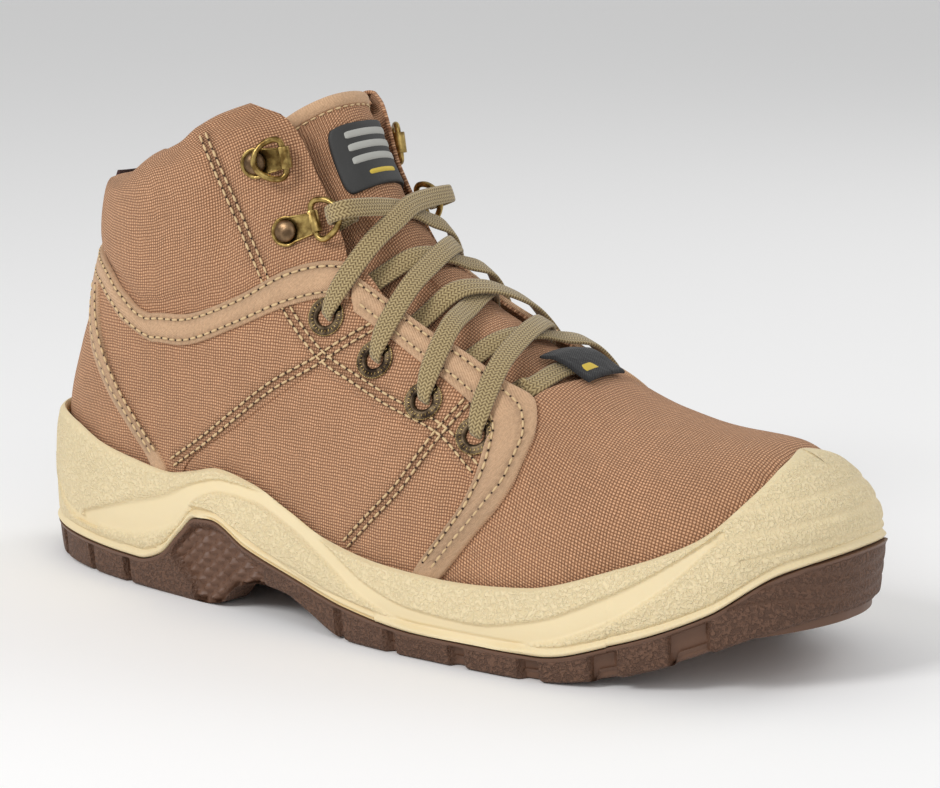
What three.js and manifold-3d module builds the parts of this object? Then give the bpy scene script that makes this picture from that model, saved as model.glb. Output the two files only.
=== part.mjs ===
// A steel toe work boot for the right foot, in millimetres: +X runs from the heel to the toe,
// the outer (lateral) side of the foot is at -Y, and +Z is up.
//
// Every piece of the upper lies on, over or under one smooth surface, the last's outer form.
// The form is a row of cross-sections. Ahead of the fan hub they stand upright; behind it they
// fan out round the hub until they lie flat round the ankle. A place on it is a station (minus
// the millimetres ahead of the hub, or the fan's angle in degrees) and an angle phi round the
// section: 0 on the ridge, +PI/2 on the lateral side, PI at the heel's back, minus is medial.
import * as THREE from "three";
import { mergeVertices } from "three/addons/utils/BufferGeometryUtils.js";
import Module from "manifold-3d";

const wasm = await Module();
wasm.setup();

// ---------------------------------------------------------------- driving dimensions
const FAN = { x: 190, z: 190 }; // hub of the fan of sections
const TOE_TIP = 298.5; // the upper's foremost point
const TOE_TURN = 225; // where the plan starts to round towards the toe
const ORIGIN = { x: 151.7, y: 0.7 }; // middle of the footprint under the whole boot

const RIDGE_TOE = [
  [190, 93], [212, 83], [235, 73.8], [257, 69.6], [276, 68.5],
  [288, 63], [295, 53.5], [297.8, 45], [298.5, 37],
];
const RIDGE_INSTEP = [
  [190, 93], [174, 102], [158, 113], [143, 127], [132.5, 142], [124.5, 158], [119, 174], [116, 190],
];
const HEEL_BACK = [
  [190, -41], [150, -46], [110, -48], [70, -44], [40, -32], [20, -12], [9, 8], [4.5, 26],
  [3, 45], [8.5, 65], [16, 85], [22.5, 105], [26, 125], [26.5, 142], [26, 158], [25.5, 190],
];
const FEATHER = [[190, 26], [230, 27], [262, 30], [285, 34], [298.5, 37]]; // widest height
const HALF_WIDTH = {
  lateral: [
    [-60, 46], [-45, 48.5], [-25, 49.5], [0, 49], [20, 44], [38, 40.5], [52, 39], [64, 38], [90, 37],
  ],
  medial: [
    [-60, 48], [-45, 49.5], [-25, 48.5], [0, 45], [20, 40], [38, 38.5], [52, 38], [64, 37.5], [90, 37],
  ],
};
const MIDLINE = [[0, 0], [60, 0], [110, -1], [160, -1.5], [200, 0], [240, 2.5], [270, 5.5], [300, 8]];

const PANEL = 1.4; // canvas and leather panels
const GAP = 0.3; // between two pieces that touch
const STIFF = [-2.1, -3.3]; // layer of the steel cap, the counter and the collar foam
const LINING = [-3.9, -4.8];
const OVERLAY = [1.9, 0.7]; // leather bands sewn on the panels
const SOLE_STEPS = 56;
const SOLE_SPREAD = { tread: 4, rim: 6.5, belly: 7, lip: 2.9, cup: 3.2, tub: 1.5 };
const LACE = { wide: 3.4, inRing: 2.9, inHole: 2.2, thick: 0.8 }; // half sizes
const EYELETS = [[137, 96], [158, 85], [179, 75], [199, 67]];
const HOOKS = {
  upper: { rivet: [107, 142], bar: [115.5, 144], rest: 166 },
  lower: { rivet: [118, 121], bar: [126.5, 124], rest: 14 },
};

// Heights along the sole, from 0 at the heel's back to 1 at the toe's tip.
const SOLE_TOP = [
  [0, 51.5], [0.04, 51], [0.085, 49], [0.139, 44.5], [0.19, 42], [0.251, 40], [0.29, 42], [0.33, 44.5],
  [0.383, 42], [0.437, 36], [0.49, 30], [0.577, 26], [0.655, 25], [0.753, 27], [0.83, 34],
  [0.908, 44], [0.962, 57.5], [1, 67],
];
const OUTSOLE_TOP = [
  [0, 12], [0.08, 11], [0.21, 10], [0.245, 13], [0.28, 22], [0.305, 28], [0.33, 28.5], [0.383, 22],
  [0.46, 16], [0.535, 11], [0.635, 8], [0.77, 8], [0.835, 13], [0.92, 24], [0.97, 36], [1, 40],
];
const TREAD = [
  [0, 0], [0.3, 0], [0.335, 1.5], [0.36, 8], [0.4, 11], [0.44, 10], [0.475, 6], [0.52, 0.6],
  [0.545, 0], [0.76, 0], [0.82, 2], [0.9, 9.5], [0.96, 18], [1, 22.5],
];
const SEAT = [
  [0, 27], [0.22, 27], [0.31, 28], [0.46, 22], [0.63, 17], [0.77, 16.5], [0.87, 19.5],
  [1, 25],
];

// ---------------------------------------------------------------- numbers and curves
const lerp = (a, b, t) => a + (b - a) * t;
const clamp = (v, low, high) => Math.min(high, Math.max(low, v));
const degrees = (radians) => (radians * 180) / Math.PI;
const radians = (angle) => (angle * Math.PI) / 180;

// A smooth curve through points [t, value] that never overshoots them and is flat past its ends.
function curve(points) {
  const ts = points.map((p) => p[0]);
  const vs = points.map((p) => p[1]);
  const steps = ts.slice(1).map((t, i) => t - ts[i]);
  const slopes = steps.map((step, i) => (vs[i + 1] - vs[i]) / step);
  const tangents = ts.map((_, i) => {
    if (i === 0) return slopes[0];
    if (i === slopes.length) return slopes[i - 1];
    if (slopes[i - 1] * slopes[i] <= 0) return 0;
    const before = 2 * steps[i] + steps[i - 1];
    const after = steps[i] + 2 * steps[i - 1];
    return (before + after) / (before / slopes[i - 1] + after / slopes[i]);
  });
  return (at) => {
    const t = clamp(at, ts[0], ts[ts.length - 1]);
    let i = 0;
    while (i < steps.length - 1 && t > ts[i + 1]) i += 1;
    const s = (t - ts[i]) / steps[i];
    const rise = steps[i] * (tangents[i] * s * (1 - s) ** 2 - tangents[i + 1] * s * s * (1 - s));
    return vs[i] + (vs[i + 1] - vs[i]) * s * s * (3 - 2 * s) + rise;
  };
}

// A smooth path through points of any dimension, run from 0 to 1 by the distance between them.
function path(points, scale = [1, 1]) {
  const at = [0];
  points.slice(1).forEach((p, i) => {
    at.push(at[i] + Math.hypot(...p.map((v, k) => (v - points[i][k]) * scale[k])));
  });
  const axes = points[0].map((_, k) => curve(points.map((p, i) => [at[i] / at[at.length - 1], p[k]])));
  return (u) => axes.map((axis) => axis(u));
}

// The surface between four edges: low and high run along u, start and end run along v.
function coons(low, high, start, end) {
  const corner = [low(0), low(1), high(0), high(1)];
  return (u, v) => {
    const edges = [low(u), high(u), start(v), end(v)];
    return corner[0].map((_, k) => {
      const ruled = lerp(edges[0][k], edges[1][k], v) + lerp(edges[2][k], edges[3][k], u);
      return ruled - lerp(lerp(corner[0][k], corner[1][k], u), lerp(corner[2][k], corner[3][k], u), v);
    });
  };
}

// ---------------------------------------------------------------- the form
const polar = (points) =>
  curve(points.map(([x, z]) => [
    degrees(Math.atan2(FAN.x - x, FAN.z - z)), Math.hypot(FAN.x - x, FAN.z - z),
  ]));
const ridgeHeight = curve(RIDGE_TOE);
const ridgeRadius = polar(RIDGE_INSTEP);
const backRadius = polar(HEEL_BACK);
const featherHeight = curve(FEATHER);
const midline = curve(MIDLINE);
const halfWidth = { 1: curve(HALF_WIDTH.lateral), "-1": curve(HALF_WIDTH.medial) };
const frontRound = curve([[-120, 2.1], [-40, 1.9], [0, 2.05], [30, 2.2], [60, 2.3], [90, 2.3]]);
const rearRound = curve([[-120, 2.1], [0, 2.2], [30, 2.2], [50, 2.1], [70, 1.9], [90, 1.8]]);
const sideRound = curve([[-120, 2.3], [-40, 2.15], [30, 2.3], [60, 2.2], [90, 2]]);
const toeAt = curve(RIDGE_TOE.slice().reverse().map(([x, z]) => [z, x]));
const heelAt = curve(HEEL_BACK.filter(([x, z]) => x < FAN.x && z > 20).map(([x, z]) => [z, x]));

// Station and depth of a side-view point: depth is 0 on the ridge and 1 at the back.
function chart(x, z) {
  if (x >= FAN.x) {
    const top = ridgeHeight(x);
    return [FAN.x - x, (top - z) / Math.max(2 * (top - featherHeight(x)), 0.01)];
  }
  const station = degrees(Math.atan2(FAN.x - x, FAN.z - z));
  const near = ridgeRadius(station);
  return [station, (Math.hypot(FAN.x - x, FAN.z - z) - near) / (backRadius(station) - near)];
}

function widthAt(station, side) {
  const base = halfWidth[side](station);
  if (station >= 0) return base;
  const turn = clamp((FAN.x - station - TOE_TURN) / (TOE_TIP + 0.1 - TOE_TURN), 0, 1);
  return base * (1 - turn ** 2.35) ** (1 / 2.05);
}

const roundAt = (station, depth) => (depth < 0.5 ? frontRound(station) : rearRound(station));

// Distance of the form's side from its midline at a side-view point.
function spread(x, z, side) {
  const [station, depth] = chart(x, z);
  const reach = Math.abs(2 * depth - 1) ** roundAt(station, depth);
  return widthAt(station, side) * Math.max(1 - reach, 0) ** (1 / sideRound(station));
}

// Over 1 outside the form and under 1 inside it; its slope gives the outward direction.
function fill(p) {
  const [station, depth] = chart(p.x, p.z);
  const out = p.y - midline(p.x);
  const width = Math.max(widthAt(station, out < 0 ? 1 : -1), 0.5);
  return (Math.abs(out) / width) ** sideRound(station) + Math.abs(2 * depth - 1) ** roundAt(station, depth);
}

function outward(p) {
  const step = 0.05;
  const slope = ["x", "y", "z"].map((axis) => {
    const ahead = p.clone();
    const behind = p.clone();
    ahead[axis] += step;
    behind[axis] -= step;
    return fill(ahead) - fill(behind);
  });
  return new THREE.Vector3(...slope).normalize();
}

// The form's point at a station and an angle round the section, `out` mm off its surface.
function onForm([station, phi], out = 0) {
  const cosine = Math.cos(phi);
  const bend = cosine > 0 ? frontRound(station) : rearRound(station);
  const depth = (1 - Math.sign(cosine) * Math.abs(cosine) ** (2 / bend)) / 2;
  const side = Math.sin(phi) >= 0 ? 1 : -1;
  const reach = widthAt(station, side) * Math.abs(Math.sin(phi)) ** (2 / sideRound(station));
  const p = new THREE.Vector3();
  if (station < 0) {
    const top = ridgeHeight(FAN.x - station);
    p.set(FAN.x - station, 0, top - 2 * (top - featherHeight(FAN.x - station)) * depth);
  } else {
    const radius = lerp(ridgeRadius(station), backRadius(station), depth);
    const angle = radians(station);
    p.set(FAN.x - radius * Math.sin(angle), 0, FAN.z - radius * Math.cos(angle));
  }
  p.y = midline(p.x) - side * reach;
  return p.addScaledVector(outward(p), out);
}

// The same place given as a side-view point; side is 1 for lateral and -1 for medial.
function place([x, z], side = 1) {
  const [station, depth] = chart(x, z);
  const along = 1 - 2 * clamp(depth, 0, 1);
  const cosine = Math.sign(along) * Math.abs(along) ** (roundAt(station, depth) / 2);
  return [station, side * Math.acos(clamp(cosine, -1, 1))];
}

// An edge drawn in side view and kept as places; all of it lies behind the hub.
const edge = (points) => path(points.map((p) => place(p)), [2.6, 30]);
const heel = (z) => [heelAt(z), z];
const backEdge = (low, high) => {
  const ends = [low, high].map((z) => [place(heel(z))[0], Math.PI]);
  return path(ends);
};

// ---------------------------------------------------------------- closed bodies
const tidy = (geometry) => {
  const bare = geometry.clone();
  ["normal", "uv"].forEach((name) => bare.deleteAttribute(name));
  return mergeVertices(bare, 1e-4);
};

function volumeOf(points, faces) {
  const cross = new THREE.Vector3();
  return faces.reduce((sum, [a, b, c]) => sum + cross.crossVectors(points[b], points[c]).dot(points[a]), 0);
}

// A body from its points and triangles, turned so that its faces point out.
function body(points, faces) {
  const facing = volumeOf(points, faces) < 0 ? faces.map(([a, b, c]) => [a, c, b]) : faces;
  const geometry = new THREE.BufferGeometry().setFromPoints(points);
  return geometry.setIndex(facing.flat());
}

const quad = (a, b, c, d) => [[a, b, c], [a, c, d]];

// A panel: the skin between two depths of the form over a chart at(u, v) of places.
function panel(at, columns, rows, outer, inner) {
  const depth = (value, u, v) => (typeof value === "function" ? value(u, v) : value);
  const points = [];
  [outer, inner].forEach((layer) => {
    for (let j = 0; j <= rows; j += 1) {
      for (let i = 0; i <= columns; i += 1) {
        const u = i / columns;
        const v = j / rows;
        points.push(onForm(at(u, v), depth(layer, u, v)));
      }
    }
  });
  const across = columns + 1;
  const below = across * (rows + 1);
  const faces = [];
  for (let j = 0; j < rows; j += 1) {
    for (let i = 0; i < columns; i += 1) {
      const a = j * across + i;
      faces.push(...quad(a, a + 1, a + across + 1, a + across));
      faces.push(...quad(a + below, a + below + across, a + below + across + 1, a + below + 1));
    }
  }
  const rim = [];
  for (let i = 0; i < columns; i += 1) rim.push(i);
  for (let j = 0; j < rows; j += 1) rim.push(j * across + columns);
  for (let i = columns; i > 0; i -= 1) rim.push(rows * across + i);
  for (let j = rows; j > 0; j -= 1) rim.push(j * across);
  rim.forEach((a, k) => {
    const b = rim[(k + 1) % rim.length];
    faces.push(...quad(b, a, a + below, b + below));
  });
  return body(points, faces);
}

// A side panel drawn in side view between four edges, on either side of the boot.
const sidePanel = (edges, side, columns, rows, outer = 0, inner = -PANEL) => {
  const flat = coons(...edges.map((points) => path(points)));
  return panel((u, v) => place(flat(u, v), side), columns, rows, outer, inner);
};

// Closed rings of equal length joined one to the next, with the first and last ring capped
// from one side to the other.
function rings(loops) {
  const count = loops[0].length;
  const faces = [];
  for (let k = 0; k < loops.length - 1; k += 1) {
    for (let i = 0; i < count; i += 1) {
      const a = k * count + i;
      const b = k * count + ((i + 1) % count);
      faces.push(...quad(a, b, b + count, a + count));
    }
  }
  const cap = (base, turn) => {
    for (let i = 0; i < count / 2; i += 1) {
      const far = (count - i) % count;
      const [a, b, c, d] = [base + i, base + i + 1, base + count - i - 1, base + far];
      const made = i === 0 ? [[a, b, c]] : i === count / 2 - 1 ? [[a, b, d]] : quad(a, b, c, d);
      faces.push(...made.map((face) => (turn ? face.slice().reverse() : face)));
    }
  };
  cap(0, true);
  cap((loops.length - 1) * count, false);
  return body(loops.flat(), faces);
}

// A tube or strap swept along a smooth line, with its section's width along the given direction.
function sweep(centres, across, halfWide, halfThick, sides, closed = false) {
  const count = centres.length;
  const points = [];
  const faces = [];
  centres.forEach((centre, i) => {
    const ahead = centres[closed ? (i + 1) % count : Math.min(i + 1, count - 1)];
    const behind = centres[closed ? (i + count - 1) % count : Math.max(i - 1, 0)];
    const tangent = ahead.clone().sub(behind).normalize();
    const wide = across(i).clone().addScaledVector(tangent, -across(i).dot(tangent)).normalize();
    const thick = new THREE.Vector3().crossVectors(tangent, wide);
    for (let k = 0; k < sides; k += 1) {
      const turn = ((k + 0.5) / sides) * 2 * Math.PI;
      points.push(centre.clone()
        .addScaledVector(wide, Math.cos(turn) * halfWide(i))
        .addScaledVector(thick, Math.sin(turn) * halfThick(i)));
    }
  });
  for (let i = 0; i < (closed ? count : count - 1); i += 1) {
    for (let k = 0; k < sides; k += 1) {
      const next = (k + 1) % sides;
      const far = ((i + 1) % count) * sides;
      faces.push(...quad(i * sides + k, i * sides + next, far + next, far + k));
    }
  }
  if (!closed) {
    const last = (count - 1) * sides;
    for (let k = 1; k < sides - 1; k += 1) {
      faces.push([0, k + 1, k], [last, last + k, last + k + 1]);
    }
  }
  return body(points, faces);
}

function solid(geometry) {
  const bare = tidy(geometry);
  return new wasm.Manifold(new wasm.Mesh({
    numProp: 3,
    vertProperties: new Float32Array(bare.attributes.position.array),
    triVerts: new Uint32Array(bare.index.array),
  }));
}

function geometryOf(made) {
  const { vertProperties, triVerts } = made.getMesh();
  const geometry = new THREE.BufferGeometry();
  geometry.setAttribute("position", new THREE.BufferAttribute(vertProperties, 3));
  return geometry.setIndex(new THREE.BufferAttribute(triVerts, 1));
}

// The geometry with round holes bored through it along the outward direction at each place.
function bored(geometry, places, radius) {
  return geometryOf(places.reduce((made, at) => {
    const centre = onForm(at);
    const drill = new THREE.CylinderGeometry(radius, radius, 12, 16);
    const turn = new THREE.Quaternion().setFromUnitVectors(new THREE.Vector3(0, 1, 0), outward(centre));
    drill.applyQuaternion(turn).translate(centre.x, centre.y, centre.z);
    return made.subtract(solid(drill));
  }, solid(geometry)));
}

// ---------------------------------------------------------------- finishes and the group
const finish = (color, roughness, metalness = 0) =>
  new THREE.MeshStandardMaterial({ color, roughness, metalness });
const FINISH = {
  canvas: finish(0xb0805f, 0.95),
  leather: finish(0xc8a57d, 0.7),
  cream: finish(0xe8d7af, 0.75),
  tread: finish(0x553c30, 0.8),
  steel: finish(0x9a9c9e, 0.4, 1),
  brass: finish(0xaa9150, 0.35, 1),
  antique: finish(0x4a3b28, 0.45, 1),
  lining: finish(0x3a3632, 0.95),
  foam: finish(0xd9cfa8, 0.95),
  board: finish(0xc9bda4, 0.9),
  lace: finish(0x96876a, 0.95),
  black: finish(0x2c2b2a, 0.6),
  maroon: finish(0x3a1f22, 0.9),
};
const boot = new THREE.Group();
const add = (name, geometry, material) => {
  const mesh = new THREE.Mesh(geometry, material);
  mesh.name = name;
  boot.add(mesh);
};
const SIDES = { lateral: 1, medial: -1 };
const eachSide = (make) => Object.entries(SIDES).forEach(([name, side]) => make(name, side));

// ---------------------------------------------------------------- the sole
const [soleTop, outsoleTop, tread, seat] = [SOLE_TOP, OUTSOLE_TOP, TREAD, SEAT].map(curve);

// A ring round the sole: height(s) is its height and out(s) its distance off the form, where s
// runs from 0 at the heel to 1 at the toe on both sides. A level ring goes straight outwards.
function soleRing(height, out, level = false) {
  const loop = [];
  for (let i = 0; i < SOLE_STEPS; i += 1) {
    const theta = (i / SOLE_STEPS) * 2 * Math.PI;
    const s = (1 - Math.cos(theta)) / 2;
    const z = height(s);
    const seen = Math.max(z, 26);
    const x = lerp(heelAt(seen), toeAt(Math.max(z, 37)), s);
    const sideways = x < FAN.x ? seen : Math.max(z, featherHeight(x));
    const side = theta <= Math.PI ? 1 : -1;
    const onMiddle = i === 0 || i === SOLE_STEPS / 2;
    const y = midline(x) - (onMiddle ? 0 : side * spread(x, sideways, side));
    const p = new THREE.Vector3(x, y, sideways);
    const away = outward(p);
    if (onMiddle) away.set(i === 0 ? -1 : 1, 0, i === 0 ? 0 : Math.max(away.z, 0)).normalize();
    if (level || z < Math.max(30, sideways + 0.5)) away.setZ(0).normalize();
    p.addScaledVector(away, out(s));
    loop.push(p.setZ(p.z + z - sideways));
  }
  return loop;
}

const bumper = curve([[0.9, 0], [0.97, 0.7], [1, 0.9]]); // extra rubber in front of the toe
const cupFloor = (s) => Math.min(outsoleTop(s) - 1, seat(s) - 6);
const fixed = (value) => () => value;

function outsole() {
  return rings([
    soleRing(tread, (s) => SOLE_SPREAD.tread + bumper(s) * 0.6, true),
    soleRing((s) => lerp(tread(s), outsoleTop(s), 0.5), (s) => 5.8 + bumper(s), true),
    soleRing(outsoleTop, (s) => SOLE_SPREAD.rim + bumper(s), true),
    soleRing(outsoleTop, fixed(SOLE_SPREAD.cup), true),
    soleRing(cupFloor, fixed(SOLE_SPREAD.cup - 0.2), true),
  ]);
}

function midsole() {
  const foot = (s) => outsoleTop(s) + GAP;
  const wall = (t) => (s) => lerp(foot(s), soleTop(s), t);
  const tub = (t) => soleRing((s) => lerp(seat(s), soleTop(s), t), fixed(SOLE_SPREAD.tub));
  return rings([
    soleRing((s) => cupFloor(s) + GAP, fixed(SOLE_SPREAD.cup - 0.7), true),
    soleRing(foot, fixed(SOLE_SPREAD.cup - 0.5), true),
    soleRing(foot, fixed(SOLE_SPREAD.rim), true),
    soleRing(wall(0.35), fixed(SOLE_SPREAD.belly)),
    soleRing(wall(0.7), fixed(5.6)),
    soleRing(wall(0.92), fixed(4.2)),
    soleRing(soleTop, fixed(SOLE_SPREAD.lip)),
    tub(1), tub(0.85), tub(0.65), tub(0.4), tub(0),
  ]);
}

// A plate on the sole's seat, from `low` to `high` above it, set in from the wall.
const plate = (low, high, inset) =>
  rings([soleRing((s) => seat(s) + low, fixed(-inset)), soleRing((s) => seat(s) + high, fixed(-inset))]);

add("outsole", outsole(), FINISH.tread);
add("midsole", midsole(), FINISH.cream);
add("puncture_plate", plate(0.3, 1.3, 7), FINISH.steel);
add("insole_board", plate(1.6, 3.6, 6.5), FINISH.board);
add("footbed", plate(5.2, 9.4, 8), FINISH.lining);

// ---------------------------------------------------------------- toe pieces
const LOWEST_FOOT = 2.6; // keeps a toe piece's two feet apart under the tip
// The foot of a toe piece: its lower edge at a station, `lift` above the sole's seat.
function footOf(station, lift) {
  const x = FAN.x - station;
  const s = clamp((x - 3) / (TOE_TIP - 3), 0, 1);
  return Math.min(place([x, Math.min(seat(s) + lift, featherHeight(x) + 4)])[1], LOWEST_FOOT);
}

// A toe piece between its rear edge, a path of places from the lateral foot over the ridge to
// the medial foot, and a front station near the tip.
function toePiece(rear, front, lift, layers, columns, rows) {
  const ends = [rear(0)[0], rear(1)[0]];
  const foot = (side) => (u) => {
    const station = lerp(ends[side > 0 ? 0 : 1], FAN.x - front, u);
    return [station, side * footOf(station, lift)];
  };
  const tip = (v) => [FAN.x - front, (1 - 2 * v) * footOf(FAN.x - front, lift)];
  const chartAt = coons(foot(1), foot(-1), rear, tip);
  return panel((u, v) => chartAt(1 - (1 - u) ** 1.5, v), columns, rows, ...layers);
}

// A straight rear edge across the form at x.
const across = (x, lift) => (v) => [FAN.x - x, (1 - 2 * v) * footOf(FAN.x - x, lift)];
const mirrored = (places) => [...places, ...places.slice(0, -1).reverse().map(([st, phi]) => [st, -phi])];

const FACING_FRONT = [[190, 18.5], [194, 25], [206, 40], [213, 50], [215.5, 57], [216, 66], [211, 76]];
const THROAT = 215; // the vamp's rear edge on the ridge
const LINING_REAR = [[193, 20], [198, 40], [210, 58], [219, 72]];
const vampRear = path(mirrored([
  ...FACING_FRONT.map(([x, z]) => place([x + 1.2, z])), [FAN.x - THROAT, 0],
]), [1, 36]);
const liningRear = path(mirrored([...LINING_REAR.map((p) => place(p)), [FAN.x - 223, 0]]), [1, 36]);
add("vamp", toePiece(vampRear, 298.2, 1.5, [0, -PANEL], 9, 20), FINISH.canvas);
add("steel_toe_cap", toePiece(across(240, 4), 295.5, 4, STIFF, 8, 14), FINISH.steel);
add("toe_cap_edge_strip", toePiece(across(231, 4), 239.4, 4, STIFF, 2, 12), FINISH.black);
add("vamp_lining", toePiece(liningRear, 297, 5, LINING, 8, 12), FINISH.lining);

// ---------------------------------------------------------------- quarters, ankle and heel
const COLLAR_TOP = [[106, 160], [98, 157], [88, 152], [79, 146], [68, 142], [52, 134], [32, 131.5]];
const COLLAR_FRONT = [[140, 110.5], [134, 121], [128, 131], [121, 144], [114, 156], [106, 160]];
const JOIN = [[140, 110.5], [122, 105.5], [104, 95.5], [84, 88], [71, 87.5], [56, 92], [38, 102]];
const TRIM = [[76, 29.5], [73, 38], [63, 50], [51, 62], [41, 79], [33, 99]];
const SEAM_REAR = [[79, 29.5], [81, 40], [107, 61], [138.4, 79.6]];
const EYESTAY_LOW = [[115, 100.5], [127, 89], [139, 80], [151, 75.5], [164, 71], [187, 64], [203, 54], [213, 50]];
const FACING = [[142.5, 108.5], [155, 102], [169, 95], [185, 88], [199, 81.5], [211, 76]];
const BAND_INNER = [
  [146, 98], [158, 92.5], [172, 86], [187, 79], [197, 73], [202, 67], [203, 59], [201, 50],
  [195, 40], [186, 28], [181, 19.5],
];
const shift = (points, dx, dz) => points.map(([x, z]) => [x + dx, z + dz]);
const reverse = (points) => points.slice().reverse();

// An edge that runs from the lateral side round the heel's back to the medial side.
function around(points) {
  const half = points.map((p) => place(p));
  const back = [half[half.length - 1][0], Math.PI];
  const far = reverse(half.slice(0, -1)).map(([st, phi]) => [st, 2 * Math.PI - phi]);
  return path([...half.slice(0, -1), back, ...far], [2.6, 30]);
}
const endEdges = (points) => [edge(points), (v) => {
  const [st, phi] = edge(points)(v);
  return [st, 2 * Math.PI - phi];
}];
const roundHeel = (low, high, end, columns, rows, layers) =>
  panel(coons(around(low), around(high), ...endEdges(end)), columns, rows, ...layers);

// How far the padded collar stands proud: nothing under the band and ahead of its last seam.
function bulge(u, v) {
  const along = clamp(u / 0.72, 0, 1);
  const up = clamp((v - 0.17) / 0.83, 0, 1);
  return 3.6 * (4 * along * (1 - along)) ** 0.5 * (4 * up * (1 - up)) ** 0.45;
}

const heelPatchFoot = [[76, 29.5], [50, 29], [25, 29], [10, 29], heel(29)];
add("heel_patch",
  roundHeel(heelPatchFoot, [[33, 99], heel(107)], TRIM, 16, 5, [0, -PANEL]), FINISH.canvas);
add("heel_counter",
  roundHeel([[68, 30], [45, 30], [20, 30], heel(30)], [[60, 58], [45, 72], [30, 84], heel(90)],
    [[68, 30], [65, 45], [60, 58]], 16, 5, [-2.4, -3.2]), FINISH.board);
add("collar_band",
  roundHeel(
    [[143, 101.5], [135, 101.5], [122, 98], [104, 90], [84, 82.5], [71, 82], [56, 86.5], [38, 97], heel(103)],
    [[141, 112], [133, 112.5], [121, 109.5], [104, 100], [84, 92.5], [71, 91.5], [56, 96], [38, 106], heel(112)],
    [[143, 101.5], [142, 107], [141, 112]], 30, 1, OVERLAY), FINISH.leather);
add("lining",
  roundHeel(
    [[187, 20], [150, 24], [120, 26.5], [78, 29.5], [50, 29], [25, 29], [10, 29], heel(29)],
    [[103, 156], [96, 154.5], [88, 150.5], [79, 144.5], [68, 140.5], [52, 132.5], [32, 130], heel(129.5)],
    [[187, 20], [187, 38], [174, 58], [148, 78], [128, 102], [117, 125], [108, 146], [103, 156]],
    28, 6, LINING), FINISH.lining);
add("pull_tab",
  panel((u, v) => [lerp(place(heel(113.4))[0], place(heel(130.5))[0], v), Math.PI + (u - 0.5) * 0.42], 4, 6,
    (u, v) => 3.6 + 1.6 * Math.sin(Math.PI * v), (u, v) => 2.4 + 1.6 * Math.sin(Math.PI * v)), FINISH.maroon);

eachSide((name, side) => {
  const fold = ([station, phi]) => [station, side * Math.min(phi, Math.PI - 0.012)];
  const ankle = coons(
    edge(shift([heel(111), ...reverse(JOIN)], 0, 0.4)), edge([heel(131), ...reverse(COLLAR_TOP)]),
    backEdge(111.4, 131), edge(COLLAR_FRONT),
  );
  const hookPlaces = Object.values(HOOKS).map((hook) => place(hook.rivet, side));
  const skin = panel((u, v) => fold(ankle(u, v)), 16, 6, bulge, (u, v) => bulge(u, v) - PANEL);
  add(`ankle_panel_${name}`, bored(skin, hookPlaces, 1.9), FINISH.canvas);
  const inset = (make) => (u, v) => make(lerp(0.03, 0.7, u), lerp(0.08, 0.94, v));
  add(`collar_padding_${name}`,
    panel(inset((u, v) => fold(ankle(u, v))), 12, 4, inset((u, v) => 0.45 * bulge(u, v) - PANEL - 0.8), STIFF[1]),
    FINISH.foam);

  const rearTop = [[34.2, 99], [56, 90.5], [71, 86], [84, 86.5], [104, 94], [113.8, 100], [126, 88.2], [137.7, 79.3]];
  const quarterTop = [[139.4, 79], [151, 74.6], [164, 70.2], [187, 63.2], [203, 53.2], [213.2, 49.2]];
  add(`quarter_rear_${name}`,
    sidePanel([[[77.2, 29.5], [79, 29.5]], rearTop, shift(TRIM, 1.2, 0), [...SEAM_REAR.slice(0, 3), [137.7, 79.3]]],
      side, 10, 6), FINISH.canvas);
  add(`quarter_${name}`,
    sidePanel([
      [[80, 30], [105, 29.5], [135, 25.5], [190, 18.8]], quarterTop,
      [[80, 30], [82.2, 39.5], [108.2, 60.4], [139.4, 79]],
      [[190, 18.8], [194, 25], [206, 40], [213.2, 49.2]],
    ], side, 10, 6), FINISH.canvas);
  const eyestay = sidePanel([
    EYESTAY_LOW, [[116.5, 102], [122, 104.5], [140, 109.5], ...FACING.slice(1)],
    [[115, 100.5], [116.5, 102]], [[213, 50], [215.5, 57], [216, 66], [211, 76]],
  ], side, 18, 3);
  add(`eyestay_${name}`, bored(eyestay, EYELETS.map((p) => place(p, side)), 3.8), FINISH.canvas);
  add(`facing_band_${name}`,
    sidePanel([
      BAND_INNER, [...FACING, [216, 66], [215.5, 57], [213, 50], [206, 40], [197, 28.5]],
      [[146, 98], [143.5, 103], [142.5, 108.5]], [[187.5, 28.5], [197, 28.5]],
    ], side, 20, 1, ...OVERLAY), FINISH.leather);
  add(`heel_trim_${name}`,
    sidePanel([
      [[66, 43], [72, 43]], [[29, 95.5], [37.5, 96]],
      [[66, 43], [57, 52], [46, 63], [36, 78], [29, 95.5]],
      [[72, 43], [64, 51], [52.5, 63], [43, 79], [37.5, 96]],
    ], side, 2, 8, ...OVERLAY), FINISH.leather);
});

// ---------------------------------------------------------------- tongue
const TONGUE = { low: -26, high: 67 }; // stations of its ends
const tongueTop = (phi) => TONGUE.high - 4 * (phi / 0.85) ** 2;
const wing = curve([[-26, 0.72], [0, 0.9], [30, 0.95], [54, 0.92], [67, 0.8]]); // half-angle of the tongue
const tongueFace = curve([[0, -2.2], [0.2, -2.7], [0.3, -4], [0.45, -6.2], [0.6, -7.6], [0.72, -8.2], [0.95, -10]]);
const tongueAt = (u, v) => {
  const phi = (2 * u - 1) * wing(lerp(TONGUE.low, TONGUE.high, v));
  return [lerp(TONGUE.low, tongueTop(phi), v), phi];
};
const tongueOut = (u, v) => tongueFace(Math.abs(tongueAt(u, v)[1]));
const tongueIn = (u, v) => tongueOut(u, v) - 2.2 - 2.6 * (1 - (2 * u - 1) ** 4);
add("tongue", panel(tongueAt, 12, 12, tongueOut, tongueIn), FINISH.canvas);
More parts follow.
